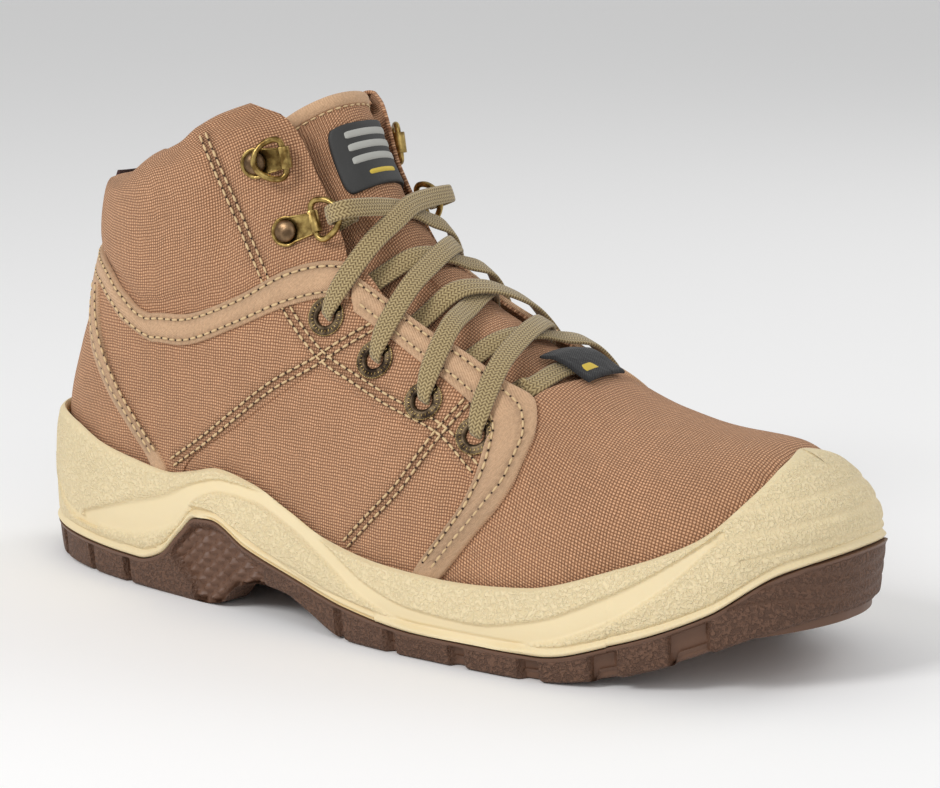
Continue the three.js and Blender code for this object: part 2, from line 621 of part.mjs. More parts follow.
add("tongue_binding",
  panel((u, v) => {
    const [, phi] = tongueAt(u, 1);
    return [tongueTop(phi) + 0.4 + 1.8 * v, phi];
  }, 10, 1, (u) => tongueOut(u, 1) + 0.5, (u) => tongueIn(u, 1) - 0.3), FINISH.leather);

// A patch sewn on the tongue between two stations, `half` radians to each side of the ridge.
const tonguePatch = (low, high, half, outer, inner, columns = 6, rows = 4) =>
  panel((u, v) => [lerp(low, high, v), (2 * u - 1) * half], columns, rows, outer, inner);
const sewnOn = (lift) => (u) => tongueFace(Math.abs(2 * u - 1) * 0.4) + lift;
add("tongue_label", tonguePatch(45, 60.5, 0.4, sewnOn(1.9), sewnOn(0.6)), FINISH.black);
const keeperFace = (lift) => (u) => tongueFace(Math.abs(2 * u - 1) * 0.18) + lift;
add("lace_keeper", tonguePatch(14, 20, 0.18, keeperFace(1.1), keeperFace(0.4), 4, 2), FINISH.canvas);
const loopLift = (base) => (u, v) => base + (v < 0.35 ? 0.2 : lerp(0.2, -1.7, (v - 0.35) / 0.65) * (v > 0.8 ? 1 : 0));
add("lace_loop", tonguePatch(-28, -11, 0.18, loopLift(2.6), loopLift(1.7), 4, 6), FINISH.black);

// ---------------------------------------------------------------- eyelets and hooks
const lathe = (profile, segments) =>
  new THREE.LatheGeometry(profile.map(([r, h]) => new THREE.Vector2(r, h)), segments);
const EYELET = [
  [3, -2.5], [4.8, -2.5], [4.8, -2], [3.5, -2], [3.5, 0.45], [6, 0.45], [6, 0.9], [4.6, 1.5], [3, 1.1], [3, -2.5],
];
const RIVET = [[0, -2.6], [2.8, -2.6], [2.8, -1.9], [1.5, -1.9], [1.5, 1.5], [3.4, 1.5], [3.1, 2.4], [1.8, 3], [0, 3.2]];
const BAR_LIFT = 2.5; // the ring's bar above the panel
const RING_REACH = 9.8;

// The turn that stands a piece made along +Y on the form, with its X axis forward.
function stand(geometry, origin, up, forward) {
  const sideways = new THREE.Vector3().crossVectors(forward, up);
  const turn = new THREE.Matrix4().makeBasis(forward, up, sideways).setPosition(origin);
  return geometry.applyMatrix4(turn);
}

function frameAt(at, towards) {
  const origin = onForm(at);
  const up = outward(origin);
  const forward = onForm(towards).sub(origin);
  forward.addScaledVector(up, -forward.dot(up));
  const reach = forward.length();
  return { origin, up, forward: forward.normalize(), reach };
}

eachSide((name, side) => {
  EYELETS.forEach((point, k) => {
    const [station, phi] = place(point, side);
    const { origin, up, forward } = frameAt([station, phi], [station - 4, phi]);
    add(`eyelet_${name}_${k + 1}`, stand(lathe(EYELET, 12), origin, up, forward), FINISH.antique);
  });
});

const ringOutline = new THREE.CatmullRomCurve3([
  [0, -3.6], [0, 0], [0, 3.6], [0.5, 5.3], [1.8, 6.2], [4, 6.1], [6.8, 4.9], [9, 2.6],
  [RING_REACH, 0], [9, -2.6], [6.8, -4.9], [4, -6.1], [1.8, -6.2], [0.5, -5.3],
].map(([x, z]) => new THREE.Vector3(x, 0, z)), true, "centripetal");

function clipGeometry(reach) {
  const shape = new THREE.Shape();
  shape.moveTo(0, 0.35).lineTo(reach, 0.35).absarc(reach, BAR_LIFT, 2.15, -Math.PI / 2, 0.62 * Math.PI);
  shape.lineTo(4.6, 1.6).lineTo(4.2, 1.15).lineTo(0, 1.15);
  shape.holes.push(new THREE.Path().absarc(reach, BAR_LIFT, 1.4, 0, 2 * Math.PI, true));
  const fold = new THREE.ExtrudeGeometry(shape, { depth: 6.5, bevelEnabled: false, curveSegments: 6 });
  const base = new THREE.CylinderGeometry(4.8, 4.8, 0.8, 16).translate(0, 0.75, 0);
  const drill = new THREE.CylinderGeometry(1.9, 1.9, 9, 12);
  return geometryOf(solid(fold.translate(0, 0, -3.25)).add(solid(base)).subtract(solid(drill)));
}

const hookFrames = {};
eachSide((name, side) => Object.entries(HOOKS).forEach(([level, hook]) => {
  const frame = frameAt(place(hook.rivet, side), place(hook.bar, side));
  const { origin, up, forward, reach } = frame;
  const pivot = origin.clone().addScaledVector(forward, reach).addScaledVector(up, BAR_LIFT);
  const label = `${name}_${level}`;
  const tilt = new THREE.Matrix4().makeRotationZ(radians(hook.rest));
  const wire = ringOutline.getSpacedPoints(22).slice(0, -1);
  const ring = sweep(wire, () => new THREE.Vector3(0, 1, 0), fixed(1), fixed(1), 6, true);
  add(`rivet_${label}`, stand(lathe(RIVET, 12), origin, up, forward), FINISH.brass);
  add(`d_ring_clip_${label}`, stand(clipGeometry(reach), origin, up, forward), FINISH.brass);
  add(`d_ring_${label}`, stand(ring.applyMatrix4(tilt), pivot, up, forward), FINISH.brass);
  const hinge = new THREE.Vector3().crossVectors(forward, up);
  boot.children[boot.children.length - 1].userData = { pivot, hinge };
  hookFrames[label] = { pivot, up, forward, hinge };
}));

// ---------------------------------------------------------------- lace
// The lace's line is a list of knots: a point and the direction of the lace's width there.
function knotAt([station, phi], out, half = LACE.wide) {
  const ahead = onForm([station + 0.5, phi]);
  const wide = ahead.sub(onForm([station - 0.5, phi])).normalize();
  return { p: onForm([station, phi], out), wide, half };
}

// One run of the lace crosses from an eyelet to the next one up on the other side. Out of the
// hole and into it: the share of the run, the height off the form, the angle short of the hole
// and half the width. Across the middle: the share, the part of the edge's angle, and the height
// when the run lies under or over the other one.
const OVER_EDGE = [
  [0, -0.6, 0, LACE.inHole], [0, 1.4, 0.01, LACE.inHole], [0.01, 3, 0.06, 2.8], [0.05, 3.7, 0.15, LACE.wide],
];
const MIDDLE = [[0.33, 0.45, 0.2, 2.6], [0.5, 0, 0.4, 2.8], [0.67, -0.45, -0.5, 2]];
const UNDER_EDGE = [
  [0.95, -3.7, 0.16, LACE.wide], [0.99, -3.6, 0.06, 2.8], [1, -2.4, 0.01, LACE.inHole],
];
const EDGE_ANGLE = 0.42; // from an eyelet to the facing's edge

function startRun(from, to, side) {
  const steps = OVER_EDGE.map(([t, out, less, half]) =>
    knotAt([lerp(from[0], to[0], t), side * (from[1] - less)], out, half));
  steps.push(knotAt([lerp(from[0], to[0], 0.2), side * (from[1] - EDGE_ANGLE)], 3.4));
  return steps;
}

function middleRun(from, to, side, high) {
  return MIDDLE.map(([t, share, low, top]) => {
    const edgeAngle = (share > 0 ? from[1] : to[1]) - EDGE_ANGLE;
    return knotAt([lerp(from[0], to[0], t), side * share * edgeAngle], high ? top : low);
  });
}

function endRun(from, to, side) {
  const steps = [knotAt([lerp(from[0], to[0], 0.8), side * (EDGE_ANGLE - to[1])], -3.3)];
  return steps.concat(UNDER_EDGE.map(([t, out, less, half]) =>
    knotAt([lerp(from[0], to[0], t), side * (less - to[1])], out, half)));
}

// Through a ring: over its bow, down through it and back under the bow, then inside the collar.
const THROUGH_RING = [[13.5, 7.4], [10.2, 8.1], [7, 6.8], [5.8, 4.4], [7, 2.1], [10, 1.9], [12.4, 0], [12.4, -3], [9.5, -4.8]];
const AGLET = { radius: 1.4, length: 16, towards: [52, 1.98, -11] };
const TUCKED = [[44, 0.86, -6.1], [43.5, 1.05, -6.6], [44, 1.25, -7], [46, 1.45, -7.3], [49, 1.65, -7.6]];

function strand(side) {
  const at = EYELETS.map((point) => place(point));
  const last = at[at.length - 1];
  const bar = [[-18, 0.16, -0.3], [-16, 0.4, -1], [-13, last[1] - EDGE_ANGLE, -3.3]];
  const knots = bar.map(([station, phi, out]) => knotAt([station, side * phi], out));
  knots.push(...UNDER_EDGE.map(([, out, less, half]) =>
    knotAt([last[0], side * (last[1] - less)], out, half)));
  let from = side;
  for (let k = at.length - 1; k > 0; k -= 1) {
    const high = (k % 2 === 1) === (from > 0);
    knots.push(...startRun(at[k], at[k - 1], from), ...middleRun(at[k], at[k - 1], from, high));
    knots.push(...endRun(at[k], at[k - 1], from));
    from = -from;
  }
  const { pivot, up, forward, hinge } = hookFrames[side > 0 ? "lateral_lower" : "medial_lower"];
  const ringPlace = [44, at[0][1]];
  knots.push(...startRun(at[0], ringPlace, from), ...middleRun(at[0], ringPlace, from, from > 0).slice(0, 2));
  knots.push(...THROUGH_RING.map(([reach, lift]) => ({
    p: pivot.clone().addScaledVector(forward, reach).addScaledVector(up, lift - BAR_LIFT),
    wide: hinge.clone().multiplyScalar(-side),
    half: LACE.inRing,
  })));
  knots.push(...TUCKED.map(([station, phi, out]) => knotAt([station, side * phi], out)));
  return knots;
}

const knots = [...reverse(strand(1)), knotAt([-19, 0], 0), ...strand(-1)];
const laceLine = knots.map(({ p }) => p);
add("lace",
  sweep(laceLine, (i) => knots[i].wide, (i) => knots[i].half, fixed(LACE.thick), 6), FINISH.lace);

// The lace's ends are sheathed in short rods that lie inside the collar.
eachSide((name, side) => {
  const end = laceLine[side > 0 ? 0 : laceLine.length - 1];
  const [station, phi, out] = AGLET.towards;
  const along = onForm([station, side * phi], out).sub(end).normalize();
  const rod = new THREE.CylinderGeometry(AGLET.radius, AGLET.radius, AGLET.length, 10);
  rod.translate(0, AGLET.length / 2 + GAP, 0);
  rod.applyQuaternion(new THREE.Quaternion().setFromUnitVectors(new THREE.Vector3(0, 1, 0), along));
  add(`aglet_${name}`, rod.translate(end.x, end.y, end.z), FINISH.black);
});

boot.position.set(-ORIGIN.x, -ORIGIN.y, 0);
export default boot;
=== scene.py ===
"""Looks of a steel toe work boot for the right foot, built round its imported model.

Lengths are in millimetres in the boot's design frame until a piece is made: +X runs from the
heel to the toe, the outer (lateral) side is at -Y and +Z is up. Every piece of the upper lies on
the last's outer form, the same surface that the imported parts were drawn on.
"""

import logging
import math
from dataclasses import dataclass, field
from enum import Enum
from typing import Callable, Iterable, Sequence

import bpy
import numpy as np
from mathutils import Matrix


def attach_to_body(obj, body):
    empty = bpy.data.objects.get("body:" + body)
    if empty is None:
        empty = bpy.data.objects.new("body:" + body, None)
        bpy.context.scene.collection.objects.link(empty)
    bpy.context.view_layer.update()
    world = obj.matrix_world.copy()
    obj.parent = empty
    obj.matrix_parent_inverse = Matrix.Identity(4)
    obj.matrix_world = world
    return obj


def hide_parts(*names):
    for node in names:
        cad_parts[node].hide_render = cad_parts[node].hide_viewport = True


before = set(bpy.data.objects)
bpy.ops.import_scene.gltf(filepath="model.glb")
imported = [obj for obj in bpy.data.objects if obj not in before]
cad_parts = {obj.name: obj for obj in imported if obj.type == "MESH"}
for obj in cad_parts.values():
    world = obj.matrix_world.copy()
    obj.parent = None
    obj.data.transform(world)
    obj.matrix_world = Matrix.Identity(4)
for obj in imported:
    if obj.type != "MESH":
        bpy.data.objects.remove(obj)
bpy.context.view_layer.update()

log = logging.getLogger("boot")

BOOT = "boot"  # the body that everything but the lace rings rides on
MM = 0.001
ORIGIN = np.array([151.7, 0.7, 0.0])  # middle of the footprint under the whole boot
Array = np.ndarray
Field = Callable[[Array, Array], Array]
Points = Sequence[Sequence[float]]
Socket = bpy.types.NodeSocket


class Side(Enum):
    """A side of the boot, with the sign of its angles round the form."""

    LATERAL = 1
    MEDIAL = -1

    @property
    def word(self) -> str:
        """The side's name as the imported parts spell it."""
        return self.name.lower()


class Weave(Enum):
    """Which two lengths on a panel its cloth follows."""

    SIDE = "length and height in side view"
    AROUND = "distance round the heel and height"
    ACROSS = "length and distance over the ridge"
    ALONG = "distance along both edges"


# ---------------------------------------------------------------- numbers and curves
def lerp(a: Array, b: Array, t: Array) -> Array:
    """The value a share t of the way from a to b."""
    return a + (b - a) * t


def ease(low: float, high: float, value: Array) -> Array:
    """0 below low, 1 above high and smooth between."""
    t = np.clip((np.asarray(value, float) - low) / (high - low), 0, 1)
    return t * t * (3 - 2 * t)


def unit(v: Array) -> Array:
    """The vectors at length 1."""
    return v / np.maximum(np.linalg.norm(v, axis=-1, keepdims=True), 1e-9)


class Curve:
    """A smooth curve through points [t, value] that never overshoots and is flat past its ends."""

    def __init__(self, points: Points) -> None:
        """Keeps the points and works out a tangent at each."""
        self.t, self.v = np.array(points, float).T
        self.step = np.diff(self.t)
        slope = np.diff(self.v) / self.step
        before = 2 * self.step[1:] + self.step[:-1]
        after = self.step[1:] + 2 * self.step[:-1]
        level = slope[:-1] * slope[1:] <= 0
        safe = np.where(slope == 0, 1, slope)
        inner = (before + after) / (before / safe[:-1] + after / safe[1:])
        self.tangent = np.concatenate([slope[:1], np.where(level, 0, inner), slope[-1:]])

    def __call__(self, at: Array) -> Array:
        """The curve's value at each t."""
        t = np.clip(np.asarray(at, float), self.t[0], self.t[-1])
        i = np.clip(np.searchsorted(self.t, t) - 1, 0, len(self.step) - 1)
        s = (t - self.t[i]) / self.step[i]
        rise = self.tangent[i] * s * (1 - s) ** 2 - self.tangent[i + 1] * s * s * (1 - s)
        return self.v[i] + (self.v[i + 1] - self.v[i]) * s * s * (3 - 2 * s) + self.step[i] * rise


class Path:
    """A smooth path through points of any dimension, run from 0 to 1 by their distances."""

    def __init__(self, points: Points, scale: Sequence[float] = (1, 1)) -> None:
        """Fits one curve to each coordinate.

        Args:
            points: The points of the path, in order.
            scale: How much each of the first coordinates counts in the distances.
        """
        array = np.array(points, float)
        weights = np.ones(array.shape[1])
        weights[: len(scale)] = scale[: array.shape[1]]
        gaps = np.linalg.norm(np.diff(array, axis=0) * weights, axis=1)
        at = np.concatenate([[0], np.cumsum(gaps)]) / gaps.sum()
        self.axes = [Curve(np.column_stack([at, column])) for column in array.T]

    def __call__(self, u: Array) -> Array:
        """The path's points at each share u of its length."""
        return np.stack([axis(u) for axis in self.axes], axis=-1)


def coons(low: Path, high: Path, start: Path, end: Path) -> Callable[..., Array]:
    """The surface between four edges.

    Args:
        low: The edge at v = 0, run along u.
        high: The edge at v = 1, run along u.
        start: The edge at u = 0, run along v.
        end: The edge at u = 1, run along v.

    Returns:
        A function of arrays u and v that gives places on the surface.
    """
    corner = [low(0), low(1), high(0), high(1)]

    def at(u: Array, v: Array) -> Array:
        a, b = np.asarray(u)[..., None], np.asarray(v)[..., None]
        ruled = lerp(low(u), high(u), b) + lerp(start(v), end(v), a)
        return ruled - lerp(lerp(corner[0], corner[1], a), lerp(corner[2], corner[3], a), b)

    return at


# ---------------------------------------------------------------- the form
@dataclass
class Form:
    """The last's outer form: sections that stand ahead of a hub and fan out round it behind.

    A place is a station (minus the millimetres ahead of the hub, or the fan's angle in degrees)
    and an angle phi round the section: 0 on the ridge, +pi/2 lateral, pi at the heel's back.
    """

    hub: tuple[float, float] = (190, 190)
    toe_tip: float = 298.5
    toe_turn: float = 225
    ridge_toe: tuple = (
        (190, 93), (212, 83), (235, 73.8), (257, 69.6), (276, 68.5),
        (288, 63), (295, 53.5), (297.8, 45), (298.5, 37),
    )
    ridge_instep: tuple = (
        (190, 93), (174, 102), (158, 113), (143, 127), (132.5, 142), (124.5, 158), (119, 174), (116, 190),
    )
    heel_back: tuple = (
        (190, -41), (150, -46), (110, -48), (70, -44), (40, -32), (20, -12), (9, 8), (4.5, 26),
        (3, 45), (8.5, 65), (16, 85), (22.5, 105), (26, 125), (26.5, 142), (26, 158), (25.5, 190),
    )
    feather: Curve = Curve([(190, 26), (230, 27), (262, 30), (285, 34), (298.5, 37)])  # widest height
    lateral: Curve = Curve([
        (-60, 46), (-45, 48.5), (-25, 49.5), (0, 49), (20, 44), (38, 40.5), (52, 39), (64, 38), (90, 37),
    ])
    medial: Curve = Curve([
        (-60, 48), (-45, 49.5), (-25, 48.5), (0, 45), (20, 40), (38, 38.5), (52, 38), (64, 37.5), (90, 37),
    ])
    middle: Curve = Curve([
        (0, 0), (60, 0), (110, -1), (160, -1.5), (200, 0), (240, 2.5), (270, 5.5), (300, 8),
    ])
    front: Curve = Curve([(-120, 2.1), (-40, 1.9), (0, 2.05), (30, 2.2), (60, 2.3), (90, 2.3)])
    rear: Curve = Curve([(-120, 2.1), (0, 2.2), (30, 2.2), (50, 2.1), (70, 1.9), (90, 1.8)])
    side: Curve = Curve([(-120, 2.3), (-40, 2.15), (30, 2.3), (60, 2.2), (90, 2)])

    def __post_init__(self) -> None:
        """Works out the curves of the ridge, the heel and the fan from their points."""
        self.ridge = Curve(self.ridge_toe)
        self.toe = Curve([(z, x) for x, z in reversed(self.ridge_toe)])
        self.heel = Curve([(z, x) for x, z in self.heel_back if x < self.hub[0] and z > 20])
        self.near, self.far = self._polar(self.ridge_instep), self._polar(self.heel_back)

    def _polar(self, points: Points) -> Curve:
        """Side-view points as a curve of distance from the hub over the fan's angle."""
        x, z = np.array(points, float).T
        across, down = self.hub[0] - x, self.hub[1] - z
        return Curve(np.column_stack([np.degrees(np.arctan2(across, down)), np.hypot(across, down)]))

    def chart(self, x: Array, z: Array) -> tuple[Array, Array]:
        """Station of side-view points and their depth, 0 on the ridge and 1 at the back."""
        x, z = np.asarray(x, float), np.asarray(z, float)
        ahead = x >= self.hub[0]
        top = self.ridge(x)
        fore = (top - z) / np.maximum(2 * (top - self.feather(x)), 0.01)
        angle = np.degrees(np.arctan2(self.hub[0] - x, self.hub[1] - z))
        near = self.near(angle)
        radius = np.hypot(self.hub[0] - x, self.hub[1] - z)
        fan = (radius - near) / (self.far(angle) - near)
        return np.where(ahead, self.hub[0] - x, angle), np.where(ahead, fore, fan)

    def width(self, station: Array, lateral: Array) -> Array:
        """Half the form's width at stations, on the lateral side where that is true."""
        base = np.where(lateral, self.lateral(station), self.medial(station))
        turn = np.clip((self.hub[0] - station - self.toe_turn) / (self.toe_tip + 0.1 - self.toe_turn), 0, 1)
        return np.where(station >= 0, base, base * (1 - turn**2.35) ** (1 / 2.05))

    def bend(self, station: Array, depth: Array) -> Array:
        """How square the section is, for the half that the depth lies in."""
        return np.where(depth < 0.5, self.front(station), self.rear(station))

    def spread(self, x: Array, z: Array, lateral: Array) -> Array:
        """Distance of the form's side from its midline at side-view points."""
        station, depth = self.chart(x, z)
        reach = np.abs(2 * depth - 1) ** self.bend(station, depth)
        return self.width(station, lateral) * np.maximum(1 - reach, 0) ** (1 / self.side(station))

    def fill(self, p: Array) -> Array:
        """Over 1 outside the form and under 1 inside it."""
        station, depth = self.chart(p[..., 0], p[..., 2])
        out = p[..., 1] - self.middle(p[..., 0])
        wide = np.maximum(self.width(station, out < 0), 0.5)
        across = (np.abs(out) / wide) ** self.side(station)
        return across + np.abs(2 * depth - 1) ** self.bend(station, depth)

    def outward(self, p: Array) -> Array:
        """The direction straight out of the form at points near it."""
        step = 0.05
        shifts = np.eye(3) * step
        slope = [self.fill(p + shift) - self.fill(p - shift) for shift in shifts]
        return unit(np.stack(slope, axis=-1))

    def on(self, places: Array, out: Array = 0.0) -> Array:
        """Points on the form.

        Args:
            places: Stations and angles, in the last axis.
            out: Millimetres off the form's surface at each.

        Returns:
            The points, in the last axis.
        """
        station, phi = places[..., 0], places[..., 1]
        cosine = np.cos(phi)
        bend = np.where(cosine > 0, self.front(station), self.rear(station))
        depth = (1 - np.sign(cosine) * np.abs(cosine) ** (2 / bend)) / 2
        lateral = np.sin(phi) >= 0
        reach = self.width(station, lateral) * np.abs(np.sin(phi)) ** (2 / self.side(station))
        x_fore = self.hub[0] - station
        top = self.ridge(x_fore)
        z_fore = top - 2 * (top - self.feather(x_fore)) * depth
        radius = lerp(self.near(station), self.far(station), depth)
        angle = np.radians(station)
        fore = station < 0
        x = np.where(fore, x_fore, self.hub[0] - radius * np.sin(angle))
        z = np.where(fore, z_fore, self.hub[1] - radius * np.cos(angle))
        y = self.middle(x) - np.where(lateral, 1, -1) * reach
        p = np.stack([x, y, z], axis=-1)
        return p + self.outward(p) * np.asarray(out, float)[..., None]

    def place(self, x: Array, z: Array, side: int = 1) -> Array:
        """Side-view points as places on one side of the form."""
        station, depth = self.chart(x, z)
        along = 1 - 2 * np.clip(depth, 0, 1)
        cosine = np.sign(along) * np.abs(along) ** (self.bend(station, depth) / 2)
        return np.stack([station, side * np.arccos(np.clip(cosine, -1, 1))], axis=-1)


FORM = Form()
HEEL_TO_TOE = 30  # how many stations one radian counts for in a path's length


def placed(points: Points, side: int = 1) -> Array:
    """Side-view points as places."""
    x, z = np.array(points, float).T
    return FORM.place(x, z, side)


def edge(points: Points) -> Path:
    """An edge drawn in side view and kept as places; all of it lies behind the hub."""
    return Path(placed(points), (2.6, HEEL_TO_TOE))


def heel(z: float) -> tuple[float, float]:
    """The side-view point at the heel's back at a height."""
    return float(FORM.heel(z)), z


def around(points: Points) -> Path:
    """An edge that runs from the lateral side round the heel's back to the medial side."""
    half = placed(points)
    half[-1, 1] = math.pi
    far = half[-2::-1].copy()
    far[:, 1] = 2 * math.pi - far[:, 1]
    return Path(np.vstack([half, far]), (2.6, HEEL_TO_TOE))


def round_chart(low: Points, high: Points, end: Points) -> Callable[..., Array]:
    """The chart of a piece that runs round the heel from side to side.

    Args:
        low: Its lower edge, from the lateral end to the heel's back.
        high: Its upper edge, the same way.
        end: Its lateral end, from low to high.

    Returns:
        The chart.
    """
    close = edge(end)

    def far(v: Array) -> Array:
        p = close(v)
        return np.stack([p[..., 0], 2 * math.pi - p[..., 1]], axis=-1)

    return coons(around(low), around(high), close, far)


def shift(points: Points, dx: float, dz: float) -> list[tuple[float, float]]:
    """Side-view points moved by dx and dz."""
    return [(x + dx, z + dz) for x, z in points]


# ---------------------------------------------------------------- shapes
@dataclass
class Shape:
    """Points in millimetres and faces, with what each point tells its material."""

    points: Array
    faces: list[tuple[int, ...]]
    cloth: Array | None = None  # the point's place on the flat cloth, in millimetres
    masks: dict[str, Array] = field(default_factory=dict)

    def facing_out(self) -> "Shape":
        """The shape with its faces turned outwards, if it is closed."""
        triangles = [(f[0], f[k], f[k + 1]) for f in self.faces for k in range(1, len(f) - 1)]
        a, b, c = (self.points[[t[k] for t in triangles]] for k in range(3))
        if np.einsum("ij,ij->", np.cross(b, c), a) < 0:
            self.faces = [tuple(reversed(f)) for f in self.faces]
        return self


def joined(shapes: Iterable[Shape]) -> Shape:
    """Several shapes as one, each already facing out."""
    points, faces, cloth, count = [], [], [], 0
    for shape in shapes:
        points.append(shape.points)
        faces += [tuple(i + count for i in f) for f in shape.faces]
        cloth.append(np.zeros((len(shape.points), 2)) if shape.cloth is None else shape.cloth)
        count += len(shape.points)
    return Shape(np.vstack(points), faces, np.vstack(cloth))


def ring_faces(rings: int, count: int, closed: bool = False) -> list[tuple[int, ...]]:
    """Quads between rings of points.

    Args:
        rings: How many rings there are.
        count: The points round each.
        closed: Whether the last ring is joined to the first.

    Returns:
        The faces, ring by ring.
    """
    faces = []
    for j in range(rings if closed else rings - 1):
        near, far = j * count, (j + 1) % rings * count
        for i in range(count):
            k = (i + 1) % count
            faces.append((near + i, near + k, far + k, far + i))
    return faces


def stops(length: float, step: float, tight: float = 0.8) -> Array:
    """Shares along an edge of a length, a step apart and closer together near both ends."""
    if length <= 3 * tight:
        return np.linspace(0, 1, 5)
    count = max(2, round((length - 2 * tight) / step))
    middle = np.linspace(tight, length - tight, count + 1)
    ends = np.array([0, 0.12, 0.35, 0.65]) * tight
    return np.concatenate([ends, middle, length - ends[::-1]]) / length


def cloth_on(points: Array, weave: Weave) -> Array:
    """Where each point of a grid lies on its flat cloth, in millimetres."""

    def run(axis: int) -> Array:
        gaps = np.linalg.norm(np.diff(points, axis=axis), axis=-1)
        total = np.cumsum(gaps, axis=axis)
        total = np.concatenate([np.zeros_like(np.take(total, [0], axis)), total], axis=axis)
        return total - np.take(total, [points.shape[axis] // 2], axis)

    if weave is Weave.SIDE:
        return points[..., [0, 2]]
    if weave is Weave.AROUND:
        return np.stack([run(1), points[..., 2]], axis=-1)
    if weave is Weave.ACROSS:
        return np.stack([points[..., 0], run(0)], axis=-1)
    return np.stack([run(1), run(0)], axis=-1)


def closed_grid(outer: Array, inner: Array, cloth: Array) -> Shape:
    """The body between two grids of points that share their edges.

    Args:
        outer: Rows and columns of points on the outside.
        inner: The same points on the inside.
        cloth: Their places on the flat cloth.

    Returns:
        The closed shape.
    """
    rows, columns = outer.shape[:2]
    below = rows * columns
    faces = []
    for j in range(rows - 1):
        for i in range(columns - 1):
            a = j * columns + i
            faces.append((a, a + 1, a + columns + 1, a + columns))
            faces.append((a + below, a + below + columns, a + below + columns + 1, a + below + 1))
    rim = list(range(columns)) + [j * columns + columns - 1 for j in range(1, rows)]
    rim += [(rows - 1) * columns + i for i in range(columns - 2, -1, -1)]
    rim += [j * columns for j in range(rows - 2, 0, -1)]
    faces += [(b, a, a + below, b + below) for a, b in zip(rim, rim[1:] + rim[:1])]
    points = np.concatenate([outer.reshape(-1, 3), inner.reshape(-1, 3)])
    flat = cloth.reshape(-1, 2)
    return Shape(points, faces, np.concatenate([flat, flat])).facing_out()


@dataclass(frozen=True)
class Panel:
    """A sewn panel: the skin between two depths of the form over a chart of places."""

    at: Callable[..., Array]
    size: tuple[float, float]  # its length along u and along v
    outer: float | Field = 0.0
    inner: float | Field = -1.4
    weave: Weave = Weave.SIDE
    step: float = 1.6
    turned: float = 0.55  # how far its cut edges are drawn down
    drawn: float = 0.42  # how far a row of stitches pulls it down

    def grid(self) -> tuple[Array, Array]:
        """The shares u and v at the panel's grid points."""
        return np.meshgrid(stops(self.size[0], self.step), stops(self.size[1], self.step))

    def shape(self, dents: Callable[[Array], Array] | None = None) -> Shape:
        """The panel's closed body.

        Args:
            dents: How strongly stitching pulls the cloth down at points, from 0 to 1, if it does.

        Returns:
            The shape, with its cloth laid by the panel's weave.
        """
        u, v = self.grid()
        places = self.at(u, v)
        high = self.outer(u, v) if callable(self.outer) else np.full(u.shape, float(self.outer))
        low = self.inner(u, v) if callable(self.inner) else np.full(u.shape, float(self.inner))
        from_edge = np.minimum(
            np.minimum(u, 1 - u) * self.size[0], np.minimum(v, 1 - v) * self.size[1]
        )
        high = high - self.turned * (1 - np.clip(from_edge / 0.8, 0, 1)) ** 2
        pulled = np.zeros(u.shape) if dents is None else dents(FORM.on(places, high))
        outer = FORM.on(places, high - self.drawn * pulled)
        shape = closed_grid(outer, FORM.on(places, low), cloth_on(outer, self.weave))
        # the mask sewn carries the stitches' dents to the material as painted shade
        shape.masks["sewn"] = np.tile(pulled.ravel(), 2)
        return shape


def side_chart(edges: Sequence[Points], side: Side) -> Callable[..., Array]:
    """The chart of a panel drawn in side view between its low, high, start and end edges."""
    flat = coons(*(Path(points) for points in edges))

    def at(u: Array, v: Array) -> Array:
        p = flat(u, v)
        return FORM.place(p[..., 0], p[..., 1], side.value)

    return at


def sweep(
    centres: Array, wide: Array, half_wide: Array, half_thick: float,
    sides: int = 16, flat: float = 0.6, closed: bool = False,
) -> Shape:
    """A strap or wire along a line.

    Args:
        centres: Points along the middle.
        wide: The direction of its width at each.
        half_wide: Half its width at each.
        half_thick: Half its thickness.
        sides: Points round the section.
        flat: The power of the section's outline; 1 is an ellipse and less is flatter.
        closed: Whether the line runs back into its start.

    Returns:
        The closed shape, with its cloth laid along and round it.
    """
    count = len(centres)
    if closed:
        tangent = unit(np.roll(centres, -1, 0) - np.roll(centres, 1, 0))
    else:
        tangent = unit(np.gradient(centres, axis=0))
    across = unit(wide - tangent * np.einsum("ij,ij->i", wide, tangent)[:, None])
    up = np.cross(tangent, across)
    turn = (np.arange(sides) + 0.5) / sides * 2 * math.pi
    a = np.sign(np.cos(turn)) * np.abs(np.cos(turn)) ** flat
    b = np.sign(np.sin(turn)) * np.abs(np.sin(turn)) ** flat
    ring = across[:, None] * (a * half_wide[:, None])[..., None] + up[:, None] * (b * half_thick)[:, None]
    points = centres[:, None] + ring
    faces = ring_faces(count, sides, closed)
    if not closed:
        last = (count - 1) * sides
        faces += [tuple(range(sides))[::-1], tuple(range(last, last + sides))]
    gaps = np.linalg.norm(np.diff(centres, axis=0, prepend=centres[:1]), axis=1)
    along = np.repeat(np.cumsum(gaps)[:, None], sides, 1)
    cloth = np.stack([along, a * half_wide[:, None]], axis=-1)
    return Shape(points.reshape(-1, 3), faces, cloth.reshape(-1, 2)).facing_out()


